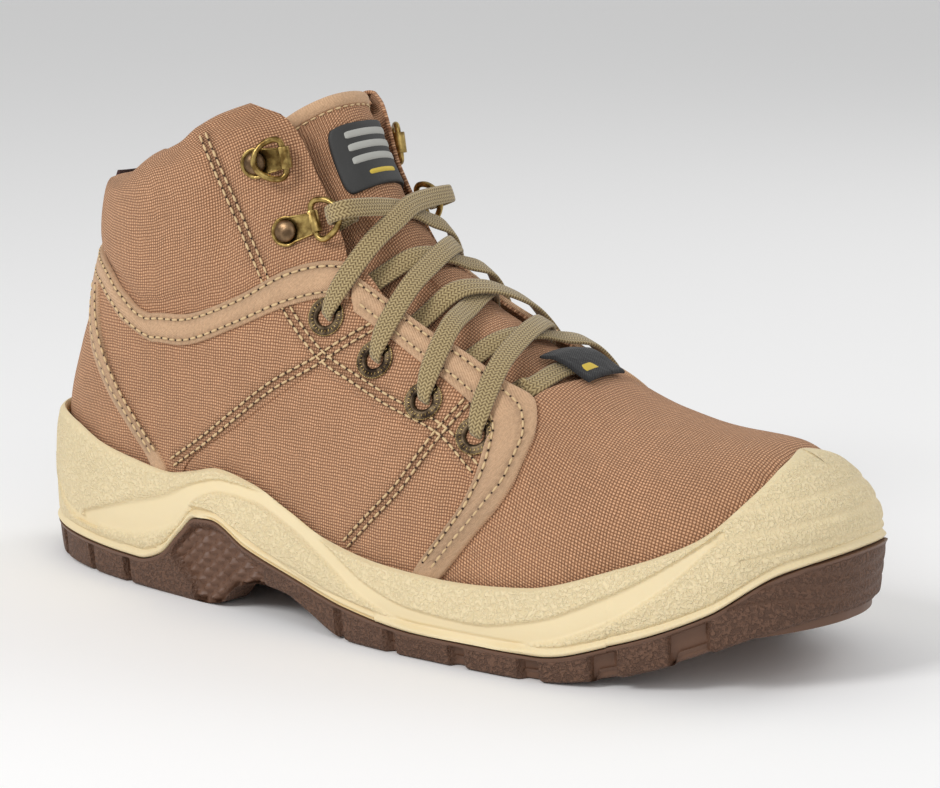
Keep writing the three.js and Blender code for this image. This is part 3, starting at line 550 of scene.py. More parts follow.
def lathe(profile: Sequence[tuple[float, float]], segments: int) -> Shape:
    """A turned body round the Y axis from a profile of radius and height.

    Args:
        profile: Points that start and end on the axis, or that close on the first.
        segments: Steps round the axis.

    Returns:
        The closed shape.
    """
    on_axis = profile[0][0] == 0
    loop = list(profile[1:-1]) if on_axis else list(profile)
    turn = np.arange(segments) / segments * 2 * math.pi
    rows = [np.column_stack([r * np.cos(turn), np.full(segments, h), r * np.sin(turn)]) for r, h in loop]
    points = np.vstack(rows)
    count = len(loop)
    faces = ring_faces(count, segments, not on_axis)
    if on_axis:
        low, high = len(points), len(points) + 1
        points = np.vstack([points, [[0, profile[0][1], 0], [0, profile[-1][1], 0]]])
        top = (count - 1) * segments
        for i in range(segments):
            k = (i + 1) % segments
            faces.append((low, k, i))
            faces.append((high, top + i, top + k))
    return Shape(points, faces).facing_out()


def slab(outline: Array, levels: Sequence[tuple[float, float]]) -> Shape:
    """A plate with a rounded rim from a convex outline.

    Args:
        outline: Points round the plate, in the X-Z plane.
        levels: Each level's height and how far it is set in from the outline.

    Returns:
        The closed shape, standing along Y.
    """
    centre = outline.mean(0)
    away = unit(outline - centre)
    count = len(outline)
    rows = []
    for height, inset in levels:
        x, z = (outline - away * inset).T
        rows.append(np.column_stack([x, np.full(count, height), z]))
    faces = ring_faces(len(levels), count)
    last = (len(levels) - 1) * count
    faces += [tuple(range(count))[::-1], tuple(range(last, last + count))]
    return Shape(np.vstack(rows), faces).facing_out()


@dataclass(frozen=True)
class Stand:
    """A place on the form with its own axes: X forward, Y out of the form and Z sideways."""

    origin: Array
    forward: Array
    up: Array
    reach: float

    @classmethod
    def at(cls, place: Array, towards: Array) -> "Stand":
        """Axes at one place, with X towards another."""
        origin = FORM.on(place)
        up = FORM.outward(origin)
        ahead = FORM.on(towards) - origin
        ahead = ahead - up * float(ahead @ up)
        return cls(origin, unit(ahead), up, float(np.linalg.norm(ahead)))

    @property
    def side(self) -> Array:
        """The sideways axis, which a ring's hinge follows."""
        return np.cross(self.forward, self.up)

    def moved(self, shape: Shape, lift: float = 0.0, ahead: float = 0.0) -> Shape:
        """The shape, made round the origin, stood here."""
        x, y, z = shape.points.T
        points = self.origin + np.outer(x + ahead, self.forward) + np.outer(y + lift, self.up)
        return Shape(points + np.outer(z, self.side), shape.faces, shape.cloth, shape.masks).facing_out()


# ---------------------------------------------------------------- materials
Colour = tuple[float, float, float]
FINISH_SUFFIX = "_finish"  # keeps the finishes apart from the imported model's own materials


def dye(red: int, green: int, blue: int) -> Colour:
    """A colour given as it looks on a screen, as linear light."""
    shares = [c / 255 for c in (red, green, blue)]
    return tuple(((c + 0.055) / 1.055) ** 2.4 if c > 0.04 else c / 12.92 for c in shares)


class Graph:
    """A node tree under construction."""

    tree: bpy.types.NodeTree

    def node(self, kind: str, inputs: dict | None = None, **settings: object) -> bpy.types.Node:
        """A new node of the tree.

        Args:
            kind: Its type.
            inputs: What goes into it by socket name or number: a value, or another node's output.
            **settings: Its settings.

        Returns:
            The node.
        """
        made = self.tree.nodes.new(kind)
        for key, value in settings.items():
            setattr(made, key, value)
        for key, value in (inputs or {}).items():
            if isinstance(value, Socket):
                self.tree.links.new(value, made.inputs[key])
            else:
                made.inputs[key].default_value = value
        return made


class Paint(Graph):
    """A material under construction: a node tree that ends in one Principled shader."""

    def __init__(self, name: str, **constants: float | Colour) -> None:
        """Starts the tree.

        Args:
            name: The material's name.
            **constants: Values that are the same all over, by the shader's socket name with _ for a space.
        """
        self.material = bpy.data.materials.new(name + FINISH_SUFFIX)
        self.material.use_nodes = True
        self.tree = self.material.node_tree
        self.tree.nodes.clear()
        self.shader = self.tree.nodes.new("ShaderNodeBsdfPrincipled")
        output = self.tree.nodes.new("ShaderNodeOutputMaterial")
        self.tree.links.new(self.shader.outputs[0], output.inputs[0])
        for key, value in constants.items():
            socket = self.shader.inputs[key.replace("_", " ")]
            colour = socket.type == "RGBA"
            socket.default_value = (*value, 1.0) if colour else value

    def maths(self, operation: str, *values: object) -> Socket:
        """The result of a Math node."""
        return self.node("ShaderNodeMath", dict(enumerate(values)), operation=operation).outputs[0]

    def scaled(self, value: Socket, by: float | Socket, plus: float | Socket) -> Socket:
        """The value times one number or output, plus another."""
        return self.maths("MULTIPLY_ADD", value, by, plus)

    def cloth(self) -> tuple[Socket, Socket, Socket]:
        """The cloth's coordinates in millimetres: the vector, then its two parts."""
        vector = self.node("ShaderNodeUVMap", uv_map="cloth").outputs[0]
        parts = self.node("ShaderNodeSeparateXYZ", {0: vector})
        return vector, parts.outputs[0], parts.outputs[1]

    def place(self) -> Socket:
        """The point's place in the boot, in millimetres."""
        vector = self.node("ShaderNodeTexCoord").outputs["Object"]
        inputs = {0: vector, 1: (1000, 1000, 1000)}
        return self.node("ShaderNodeVectorMath", inputs, operation="MULTIPLY").outputs[0]

    def mask(self, name: str) -> Socket:
        """How strong one of the shape's masks is."""
        return self.node("ShaderNodeAttribute", attribute_name=name).outputs["Fac"]

    def stretched(self, vector: Socket, x: float, y: float, detail: float) -> Socket:
        """Soft noise drawn out along one way of the cloth."""
        return self.noise(self.node("ShaderNodeMapping", {0: vector, 3: (x, y, 1)}).outputs[0], 1.0, detail)

    def noise(self, vector: Socket, scale: float, detail: float = 2.0,
              distortion: float = 0.0) -> Socket:
        """Soft noise with features 1 / scale millimetres across."""
        inputs = {"Vector": vector, "Scale": scale, "Detail": detail, "Distortion": distortion}
        return self.node("ShaderNodeTexNoise", inputs).outputs[0]

    def ramp(self, value: Socket, stops_at: Sequence[tuple[float, Colour]]) -> Socket:
        """A colour that runs through the given stops as the value goes from 0 to 1."""
        made = self.node("ShaderNodeValToRGB", {0: value})
        for k, (at, colour) in enumerate(stops_at):
            stop = made.color_ramp.elements[k] if k < 2 else made.color_ramp.elements.new(at)
            stop.position = at
            stop.color = (*colour, 1.0)
        return made.outputs[0]

    def tint(self, colour: Socket, amount: Socket) -> Socket:
        """The colour brightened or darkened by an amount round 1."""
        made = self.node("ShaderNodeVectorMath", {0: colour}, operation="SCALE")
        self.tree.links.new(amount, made.inputs["Scale"])
        return made.outputs[0]

    def sewn(self, colour: Socket) -> Socket:
        """The colour darkened by painted shade in the dents that stitching pulls."""
        return self.tint(colour, self.scaled(self.mask("sewn"), -0.38, 1.0))

    def around_one(self, value: Socket, swing: float) -> Socket:
        """Noise from 0 to 1 as a factor that swings round 1."""
        return self.scaled(value, 2 * swing, 1 - swing)

    def bump(self, height: Socket, depth: float, under: Socket | None = None) -> Socket:
        """A bump as deep as a height from 0 to 1 times depth millimetres, over another one."""
        inputs = {"Height": height, "Strength": 1.0, "Distance": depth * MM}
        if under is not None:
            inputs["Normal"] = under
        return self.node("ShaderNodeBump", inputs).outputs[0]

    def finish(self, colour: Socket | None = None, normal: Socket | None = None,
               roughness: Socket | None = None) -> bpy.types.Material:
        """Joins what varies over the surface to the shader and gives the material."""
        for name, socket in (("Base Color", colour), ("Normal", normal), ("Roughness", roughness)):
            if socket is not None:
                self.tree.links.new(socket, self.shader.inputs[name])
        return self.material


@dataclass(frozen=True)
class Canvas:
    """Heavy plain-woven canvas in two close shades."""

    name: str = "canvas"
    dark: Colour = dye(98, 62, 40)
    mid: Colour = dye(171, 123, 90)
    light: Colour = dye(226, 178, 140)
    pitch: float = 0.94  # one thread

    def material(self) -> bpy.types.Material:
        """Threads as rows of small domes, every other one lower and darker, with painted shade in the hollows
        between them.
        """
        paint = Paint(self.name, Roughness=0.92, Specular_IOR_Level=0.18, Sheen_Weight=0.25,
                      Sheen_Roughness=0.5, Sheen_Tint=dye(255, 225, 200))
        vector, u, v = paint.cloth()
        sway = paint.noise(vector, 0.12, 1.0)
        across = paint.scaled(sway, 1.1, u)
        up = paint.scaled(paint.noise(vector, 0.15, 1.0), 1.1, v)
        turn = math.pi / self.pitch
        a = paint.maths("SINE", paint.maths("MULTIPLY", across, turn))
        b = paint.maths("SINE", paint.maths("MULTIPLY", up, turn))
        cross = paint.maths("MULTIPLY", a, b)
        dome = paint.maths("POWER", paint.maths("ABSOLUTE", cross), 0.6)
        height = paint.scaled(cross, 0.1, paint.maths("MULTIPLY", dome, 0.8))
        fibre = paint.noise(vector, 3.2, 3.0)
        height = paint.scaled(fibre, 0.22, height)
        # painted shade: the ramp darkens the weave's hollows and lightens the threads' tops
        colour = paint.ramp(height, [(0.02, self.dark), (0.95, self.light), (0.5, self.mid)])
        slubs = paint.stretched(vector, 0.12, 1.6, 2.0)
        picks = paint.stretched(vector, 1.6, 0.12, 2.0)
        cloud = paint.noise(vector, 0.035, 2.0)
        for value, swing in ((slubs, 0.2), (picks, 0.2), (cloud, 0.1)):
            colour = paint.tint(colour, paint.around_one(value, swing))
        return paint.finish(paint.sewn(colour), paint.bump(height, 0.46))


@dataclass(frozen=True)
class Tape:
    """Fine twill tape and split leather trim."""

    name: str
    light: Colour
    dark: Colour
    pitch: float = 0.62
    depth: float = 0.15

    def material(self) -> bpy.types.Material:
        """Slanting fine ribs with a soft grain, with painted shade in the hollows of both."""
        paint = Paint(self.name, Roughness=0.78, Specular_IOR_Level=0.3, Sheen_Weight=0.12)
        vector, u, v = paint.cloth()
        slant = paint.maths("MULTIPLY", paint.maths("ADD", u, v), 2 * math.pi / self.pitch)
        rib = paint.scaled(paint.maths("SINE", slant), 0.5, 0.5)
        grain = paint.noise(vector, 1.6, 4.0)
        height = paint.scaled(rib, 0.55, paint.maths("MULTIPLY", grain, 0.6))
        # painted shade: the ramp darkens the hollows between the ribs and in the grain
        colour = paint.ramp(height, [(0.15, self.dark), (0.8, self.light)])
        colour = paint.tint(colour, paint.around_one(paint.noise(vector, 0.09, 3.0), 0.12))
        colour = paint.tint(colour, paint.around_one(paint.noise(vector, 0.9, 3.0), 0.2))
        crease = paint.bump(paint.noise(vector, 0.3, 2.0, 0.6), 0.5)
        return paint.finish(paint.sewn(colour), paint.bump(height, self.depth, crease))


@dataclass(frozen=True)
class Moulded:
    """Moulded sole material: wrinkled grain, smooth where the mask "smooth" is 1."""

    name: str
    colour: Colour
    # painted shade: the colour in the grain's hollows
    shade: Colour
    grain: float
    depth: float
    roughness: float
    soft: float = 0.0  # light that passes under the surface

    def material(self) -> bpy.types.Material:
        """Wormy grain from stretched cells, with painted shade in its hollows, over broad random changes of
        tone.
        """
        paint = Paint(self.name, Specular_IOR_Level=0.35, Subsurface_Weight=self.soft,
                      Subsurface_Radius=(4 * MM, 3 * MM, 2 * MM), Subsurface_Scale=1.0)
        place = paint.place()
        smooth = paint.mask("smooth")
        rough = paint.maths("SUBTRACT", 1.0, smooth)
        worms = paint.noise(place, self.grain, 1.5, 0.7)
        limits = {0: worms, 1: 0.36, 2: 0.64}
        fold = paint.node("ShaderNodeMapRange", limits, interpolation_type="SMOOTHSTEP")
        fine = paint.noise(place, self.grain * 3.1, 2.0)
        height = paint.scaled(fine, 0.22, fold.outputs[0])
        height = paint.maths("MULTIPLY", height, rough)
        height = paint.scaled(paint.noise(place, 0.5, 2.0), 0.12, height)
        # painted shade: the ramp darkens the grain's hollows towards the shade colour
        colour = paint.ramp(height, [(0.0, self.shade), (0.7, self.colour)])
        ends = {0: smooth, 6: colour, 7: (*self.colour, 1.0)}
        even = paint.node("ShaderNodeMix", ends, data_type="RGBA")
        tone = paint.tint(even.outputs[2], paint.around_one(paint.noise(place, 0.03, 3.0), 0.07))
        gloss = paint.scaled(rough, 0.16, self.roughness)
        return paint.finish(tone, paint.bump(height, self.depth), gloss)


@dataclass(frozen=True)
class Metal:
    """Plated metal with a worn, darker patina in patches."""

    name: str
    bright: Colour
    dark: Colour
    roughness: float = 0.32
    patches: float = 0.35

    def material(self) -> bpy.types.Material:
        """Bright plating with noise-shaped patches of the darker tone."""
        paint = Paint(self.name, Metallic=1.0)
        place = paint.place()
        patch = paint.noise(place, self.patches, 4.0)
        colour = paint.ramp(patch, [(0.38, self.dark), (0.62, self.bright)])
        gloss = paint.scaled(paint.noise(place, 1.5, 3.0), 0.22, self.roughness - 0.08)
        return paint.finish(colour, paint.bump(paint.noise(place, 2.2, 3.0), 0.05), gloss)


@dataclass(frozen=True)
class Braid:
    """Flat braided lace with slanting strands that meet along its middle."""

    name: str = "lace_braid"
    light: Colour = dye(190, 170, 126)
    mid: Colour = dye(152, 132, 94)
    dark: Colour = dye(100, 83, 54)
    strand: float = 1.15

    def material(self) -> bpy.types.Material:
        """A herringbone of strands, heathered with finer yarns, with painted shade in the hollows between the
        strands.
        """
        paint = Paint(self.name, Roughness=0.9, Specular_IOR_Level=0.15, Sheen_Weight=0.3)
        vector, along, across = paint.cloth()
        folded = paint.maths("ABSOLUTE", paint.maths("PINGPONG", across, 1.1))
        slant = paint.scaled(folded, 0.9, along)
        strand = paint.maths("SINE", paint.maths("MULTIPLY", slant, 2 * math.pi / self.strand))
        seam = paint.maths("SINE", paint.maths("MULTIPLY", across, 2 * math.pi / 1.1))
        height = paint.scaled(strand, 0.3, 0.5)
        height = paint.scaled(seam, 0.16, height)
        heather = paint.stretched(vector, 0.8, 2.2, 3.0)
        height = paint.scaled(heather, 0.4, paint.maths("SUBTRACT", height, 0.2))
        # the ramp over height holds the yarns' own heather and paints shade between the strands
        colour = paint.ramp(height, [(0.1, self.dark), (0.9, self.light), (0.5, self.mid)])
        return paint.finish(colour, paint.bump(height, 0.22))


@dataclass(frozen=True)
class Knit:
    """Open knitted mesh, felt or tape: rows of small round cells."""

    name: str
    light: Colour
    dark: Colour
    pitch: float = 1.8
    depth: float = 0.3

    def material(self) -> bpy.types.Material:
        """Staggered round cells on the place in the boot, so that no seam shows, with painted shade in their
        hollow middles.
        """
        paint = Paint(self.name, Roughness=0.95, Specular_IOR_Level=0.15, Sheen_Weight=0.2)
        place = paint.place()
        layout = {"Vector": place, "Scale": 1 / self.pitch, "Randomness": 0.35}
        cells = paint.node("ShaderNodeTexVoronoi", layout)
        height = paint.maths("MULTIPLY", cells.outputs["Distance"], 1.3)
        height = paint.scaled(paint.noise(place, 2.5, 3.0), 0.25, height)
        # painted shade: the ramp darkens each cell's hollow middle
        colour = paint.ramp(height, [(0.2, self.dark), (0.9, self.light)])
        return paint.finish(colour, paint.bump(height, self.depth))


@dataclass(frozen=True)
class Plain:
    """A plain stock finish, with a faint grain and slight changes of tone."""

    name: str
    colour: Colour
    roughness: float
    metallic: float = 0.0
    grain: float = 1.4
    depth: float = 0.05

    def material(self) -> bpy.types.Material:
        """Fine noise in the bump, the tone and the gloss."""
        paint = Paint(self.name, Metallic=self.metallic)
        place = paint.place()
        fine = paint.noise(place, self.grain, 4.0)
        flat = paint.node("ShaderNodeRGB")
        flat.outputs[0].default_value = (*self.colour, 1.0)
        colour = paint.tint(flat.outputs[0], paint.around_one(paint.noise(place, 0.12, 3.0), 0.14))
        gloss = paint.scaled(fine, 0.14, self.roughness - 0.07)
        return paint.finish(colour, paint.bump(fine, self.depth), gloss)


class Finish(Enum):
    """Every finish on the boot."""

    CANVAS = Canvas()
    TRIM = Tape("beige_trim", dye(219, 182, 145), dye(160, 120, 88))
    THREAD = Tape("sewing_thread", dye(226, 198, 154), dye(176, 144, 100), 0.35)
    # painted shade: the colour of dark beads put where the needle's punctures are shaded
    NEEDLE_HOLE = Plain("needle_hole", dye(52, 34, 24), 0.95)
    CREAM = Moulded("cream_midsole", dye(229, 211, 171), dye(216, 197, 155), 1.05, 0.27, 0.52, 0.1)
    RUBBER = Moulded("brown_outsole", dye(106, 77, 60), dye(76, 53, 40), 0.95, 0.5, 0.46)
    BRASS = Metal("antique_brass", dye(186, 160, 98), dye(112, 88, 48), 0.3)
    EYELET = Metal("dark_antique", dye(92, 78, 60), dye(40, 32, 26), 0.42)
    RIM = Metal("worn_brass_rim", dye(190, 166, 112), dye(120, 98, 60), 0.34)
    STUD = Metal("brown_stud", dye(138, 112, 84), dye(98, 78, 58), 0.36)
    BRAID = Braid()
    LINING = Knit("lining_mesh", dye(96, 84, 70), dye(40, 34, 30))
    FELT = Knit("footbed_felt", dye(82, 76, 72), dye(44, 40, 38), 0.9, 0.12)
    LABEL = Plain("label_rubber", dye(46, 46, 45), 0.62)
    LABEL_GREY = Plain("label_grey", dye(168, 168, 162), 0.6)
    LABEL_OCHRE = Plain("label_ochre", dye(206, 178, 62), 0.6)
    WEBBING = Tape("black_webbing", dye(46, 46, 47), dye(18, 18, 19), 0.9, 0.14)
    PULL = Tape("dark_webbing", dye(74, 46, 46), dye(34, 18, 20), 0.9, 0.14)
    STEEL = Plain("pressed_steel", dye(158, 160, 163), 0.36, 1.0, 2.4, 0.03)
    BOARD = Plain("fibre_board", dye(204, 192, 166), 0.9, 0.0, 2.2, 0.12)
    FOAM = Plain("collar_foam", dye(220, 208, 170), 0.95, 0.0, 1.8, 0.3)
    EDGE_RUBBER = Plain("edge_rubber", dye(40, 39, 38), 0.7)
    FILM = Plain("lace_end_film", dye(122, 106, 70), 0.28)

    @property
    def made(self) -> bpy.types.Material:
        """The finish's material, made once."""
        return bpy.data.materials.get(self.value.name + FINISH_SUFFIX) or self.value.material()


# ---------------------------------------------------------------- pieces
def new_object(name: str, shape: Shape, finish: Finish) -> bpy.types.Object:
    """A shape as a mesh object in metres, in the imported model's frame.

    Args:
        name: The piece's name.
        shape: Its shape in the design frame.
        finish: Its finish.

    Returns:
        The object, linked to the scene.
    """
    mesh = bpy.data.meshes.new(name)
    mesh.from_pydata(((shape.points - ORIGIN) * MM).tolist(), [], shape.faces)
    if shape.cloth is not None:
        layer = mesh.uv_layers.new(name="cloth")
        index = np.empty(len(mesh.loops), int)
        mesh.loops.foreach_get("vertex_index", index)
        layer.data.foreach_set("uv", shape.cloth[index].astype(np.float32).ravel())
    for key, values in shape.masks.items():
        mesh.attributes.new(key, "FLOAT", "POINT").data.foreach_set("value", values.astype(np.float32))
    mesh.materials.append(finish.made)
    mesh.polygons.foreach_set("use_smooth", np.ones(len(mesh.polygons), bool))
    mesh.set_sharp_from_angle(angle=math.radians(48))
    made = bpy.data.objects.new(name, mesh)
    bpy.context.scene.collection.objects.link(made)
    return made


def attach(
    piece: bpy.types.Object, nodes: Sequence[str] = (), body: str = BOOT,
) -> bpy.types.Object:
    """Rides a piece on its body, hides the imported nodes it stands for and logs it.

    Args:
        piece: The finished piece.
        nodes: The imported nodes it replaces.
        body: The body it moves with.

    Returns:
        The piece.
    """
    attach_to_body(piece, body)
    if nodes:
        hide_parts(*nodes)
    log.info("%-24s %6d faces on %s", piece.name, len(piece.data.polygons), body)
    return piece


def add(name: str, shape: Shape, finish: Finish, slot: str, *nodes: str, body: str = BOOT) -> None:
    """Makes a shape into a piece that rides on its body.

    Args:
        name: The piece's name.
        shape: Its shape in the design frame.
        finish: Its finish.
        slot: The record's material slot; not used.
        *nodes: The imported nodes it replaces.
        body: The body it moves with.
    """
    attach(new_object(name, shape, finish), nodes, body)


class Repeater(Graph):
    """A Geometry Nodes tree that repeats a small body over a mesh of points or lines."""

    def __init__(self, name: str, sizes: Sequence[str]) -> None:
        """Starts the tree.

        Args:
            name: Its name.
            sizes: The names of its inputs that are lengths.
        """
        self.tree, self.sizes = bpy.data.node_groups.new(name, "GeometryNodeTree"), sizes
        lengths = dict.fromkeys(sizes, "Float")
        kinds = {"Source": "Geometry", **lengths, "Seed": "Int", "Material": "Material"}
        for socket, kind in kinds.items():
            self.tree.interface.new_socket(socket, in_out="INPUT", socket_type="NodeSocket" + kind)
        self.tree.interface.new_socket("Made", in_out="OUTPUT", socket_type="NodeSocketGeometry")
        self.given = self.node("NodeGroupInput").outputs

    def close(self, instances: Socket, smooth: bool) -> None:
        """Ends the tree: instances made real, shaded and given the material."""
        real = self.node("GeometryNodeRealizeInstances", {"Geometry": instances})
        shaded = self.node("GeometryNodeSetShadeSmooth",
                           {"Geometry": real.outputs[0], "Shade Smooth": smooth})
        dressed = self.node("GeometryNodeSetMaterial",
                            {"Geometry": shaded.outputs[0], "Material": self.given["Material"]})
        self.tree.links.new(dressed.outputs[0], self.node("NodeGroupOutput").inputs[0])

    def run(self, name: str, mesh: bpy.types.Mesh, finish: Finish, lengths: Sequence[float],
            seed: int = 7) -> bpy.types.Object:
        """The tree's result on a mesh, as a plain mesh object.

        Args:
            name: The piece's name.
            mesh: The points or lines, which are used up.
            finish: The bodies' finish.
            lengths: The tree's sizes, in millimetres.
            seed: The seed of the bodies' small differences.

        Returns:
            The piece.
        """
        source = bpy.data.objects.new(name + "_source", mesh)
        bpy.context.scene.collection.objects.link(source)
        modifier = source.modifiers.new("repeat", "NODES")
        modifier.node_group = self.tree
        sockets = {s.name: s.identifier for s in self.tree.interface.items_tree if s.in_out == "INPUT"}
        for size, value in zip(self.sizes, lengths):
            modifier[sockets[size]] = value * MM
        modifier[sockets["Seed"]] = seed
        modifier[sockets["Material"]] = finish.made
        bpy.context.view_layer.update()
        graph = bpy.context.evaluated_depsgraph_get()
        made = bpy.data.objects.new(name, bpy.data.meshes.new_from_object(source.evaluated_get(graph)))
        bpy.context.scene.collection.objects.link(made)
        bpy.data.objects.remove(source)
        return made


class RowOfBeads(Repeater):
    """Beads laid end to end along lines: stitches, painted shade where the needle went through, rims and
    ribs.
    """

    def __init__(self) -> None:
        """Lines to evenly spaced points, a bead on each, turned along the line and out of the cloth."""
        super().__init__("row_of_beads", ("Pitch", "Length", "Width", "Height", "Shift"))
        given, node = self.given, self.node
        line = node("GeometryNodeMeshToCurve", {"Mesh": given["Source"]})
        spaced = node("GeometryNodeResampleCurve", {"Curve": line.outputs[0], "Length": given["Pitch"]},
                      mode="LENGTH")
        tangent = node("GeometryNodeInputTangent").outputs[0]
        out = node("GeometryNodeInputNamedAttribute", {"Name": "out"}, data_type="FLOAT_VECTOR").outputs[0]
        along = node("FunctionNodeAlignRotationToVector", {"Vector": tangent}, axis="X").outputs[0]
        turned = node("FunctionNodeAlignRotationToVector", {"Rotation": along, "Vector": out},
                      axis="Z", pivot_axis="X").outputs[0]
        ball = node("GeometryNodeMeshUVSphere", {"Segments": 8, "Rings": 5, "Radius": 0.5}).outputs[0]
        size = node("ShaderNodeCombineXYZ", {0: given["Length"], 1: given["Width"], 2: given["Height"]})
        bead = node("GeometryNodeTransform", {"Geometry": ball, "Scale": size.outputs[0]}).outputs[0]
        least, most = (0.93, 0.86, 0.85), (1.03, 1.1, 1.1)
        scale = node("FunctionNodeRandomValue", {"Seed": given["Seed"], 0: least, 1: most},
                     data_type="FLOAT_VECTOR").outputs[0]
        laid = node("GeometryNodeInstanceOnPoints", {
            "Points": spaced.outputs[0], "Instance": bead, "Rotation": turned, "Scale": scale,
        })
        step = node("ShaderNodeCombineXYZ", {0: given["Shift"]})
        moved = node("GeometryNodeTranslateInstances",
                     {"Instances": laid.outputs[0], "Translation": step.outputs[0]})
        self.close(moved.outputs[0], True)

    def lay(self, name: str, lines: Sequence[tuple[Array, Array]], finish: Finish,
            sizes: Sequence[float], closed: bool = False) -> bpy.types.Object:
        """Beads along lines.

        Args:
            name: The piece's name.
            lines: Each line's points and the outward directions at them.
            finish: The beads' finish.
            sizes: Pitch, length, width, height and shift along the line, in millimetres.
            closed: Whether each line is a loop.

        Returns:
            The piece.
        """
        points = np.vstack([p for p, _ in lines])
        edges, base = [], 0
        for p, _ in lines:
            edges += [(base + i, base + i + 1) for i in range(len(p) - 1)]
            if closed:
                edges.append((base + len(p) - 1, base))
            base += len(p)
        mesh = bpy.data.meshes.new(name + "_lines")
        mesh.from_pydata(((points - ORIGIN) * MM).tolist(), edges, [])
        outs = np.vstack([n for _, n in lines]).astype(np.float32)
        mesh.attributes.new("out", "FLOAT_VECTOR", "POINT").data.foreach_set("vector", outs.ravel())
        return self.run(name, mesh, finish, sizes)


class TreadLugs(Repeater):
    """Six-sided lugs, a little narrower at the ground, one on each point."""

    def __init__(self) -> None:
        """A short cone on each point."""
        super().__init__("tread_lugs", ("Radius", "Height"))
        taper = {0: self.given["Radius"], 1: 0.82}
        foot = self.node("ShaderNodeMath", taper, operation="MULTIPLY").outputs[0]
        cone = self.node("GeometryNodeMeshCone", {
            "Vertices": 6, "Radius Bottom": foot, "Radius Top": self.given["Radius"],
            "Depth": self.given["Height"],
        })
        laid = self.node("GeometryNodeInstanceOnPoints",
                         {"Points": self.given["Source"], "Instance": cone.outputs[0]})
        self.close(laid.outputs[0], False)


# ---------------------------------------------------------------- seams
@dataclass(frozen=True)
class Seam:
    """Rows of stitches drawn in side view, with the height of the cloth under each point."""

    points: tuple[tuple[float, float, float], ...]
    rows: tuple[float, ...] = (-1.2, 1.2)  # each row's distance to the side of the line
    both: bool = True  # on both sides of the boot

    def lines(self, side: Side) -> list[tuple[Array, Array]]:
        """The rows' points and outward directions on a side."""
        route = Path(self.points)(np.linspace(0, 1, 90))
        ahead = np.gradient(route[:, :2], axis=0)
        normal = unit(np.column_stack([-ahead[:, 1], ahead[:, 0]]))
        made = []
        for row in self.rows:
            x, z = (route[:, :2] + normal * row).T
            p = FORM.on(FORM.place(x, z, side.value), route[:, 2] + 0.12)
            made.append((p, FORM.outward(p)))
        return made


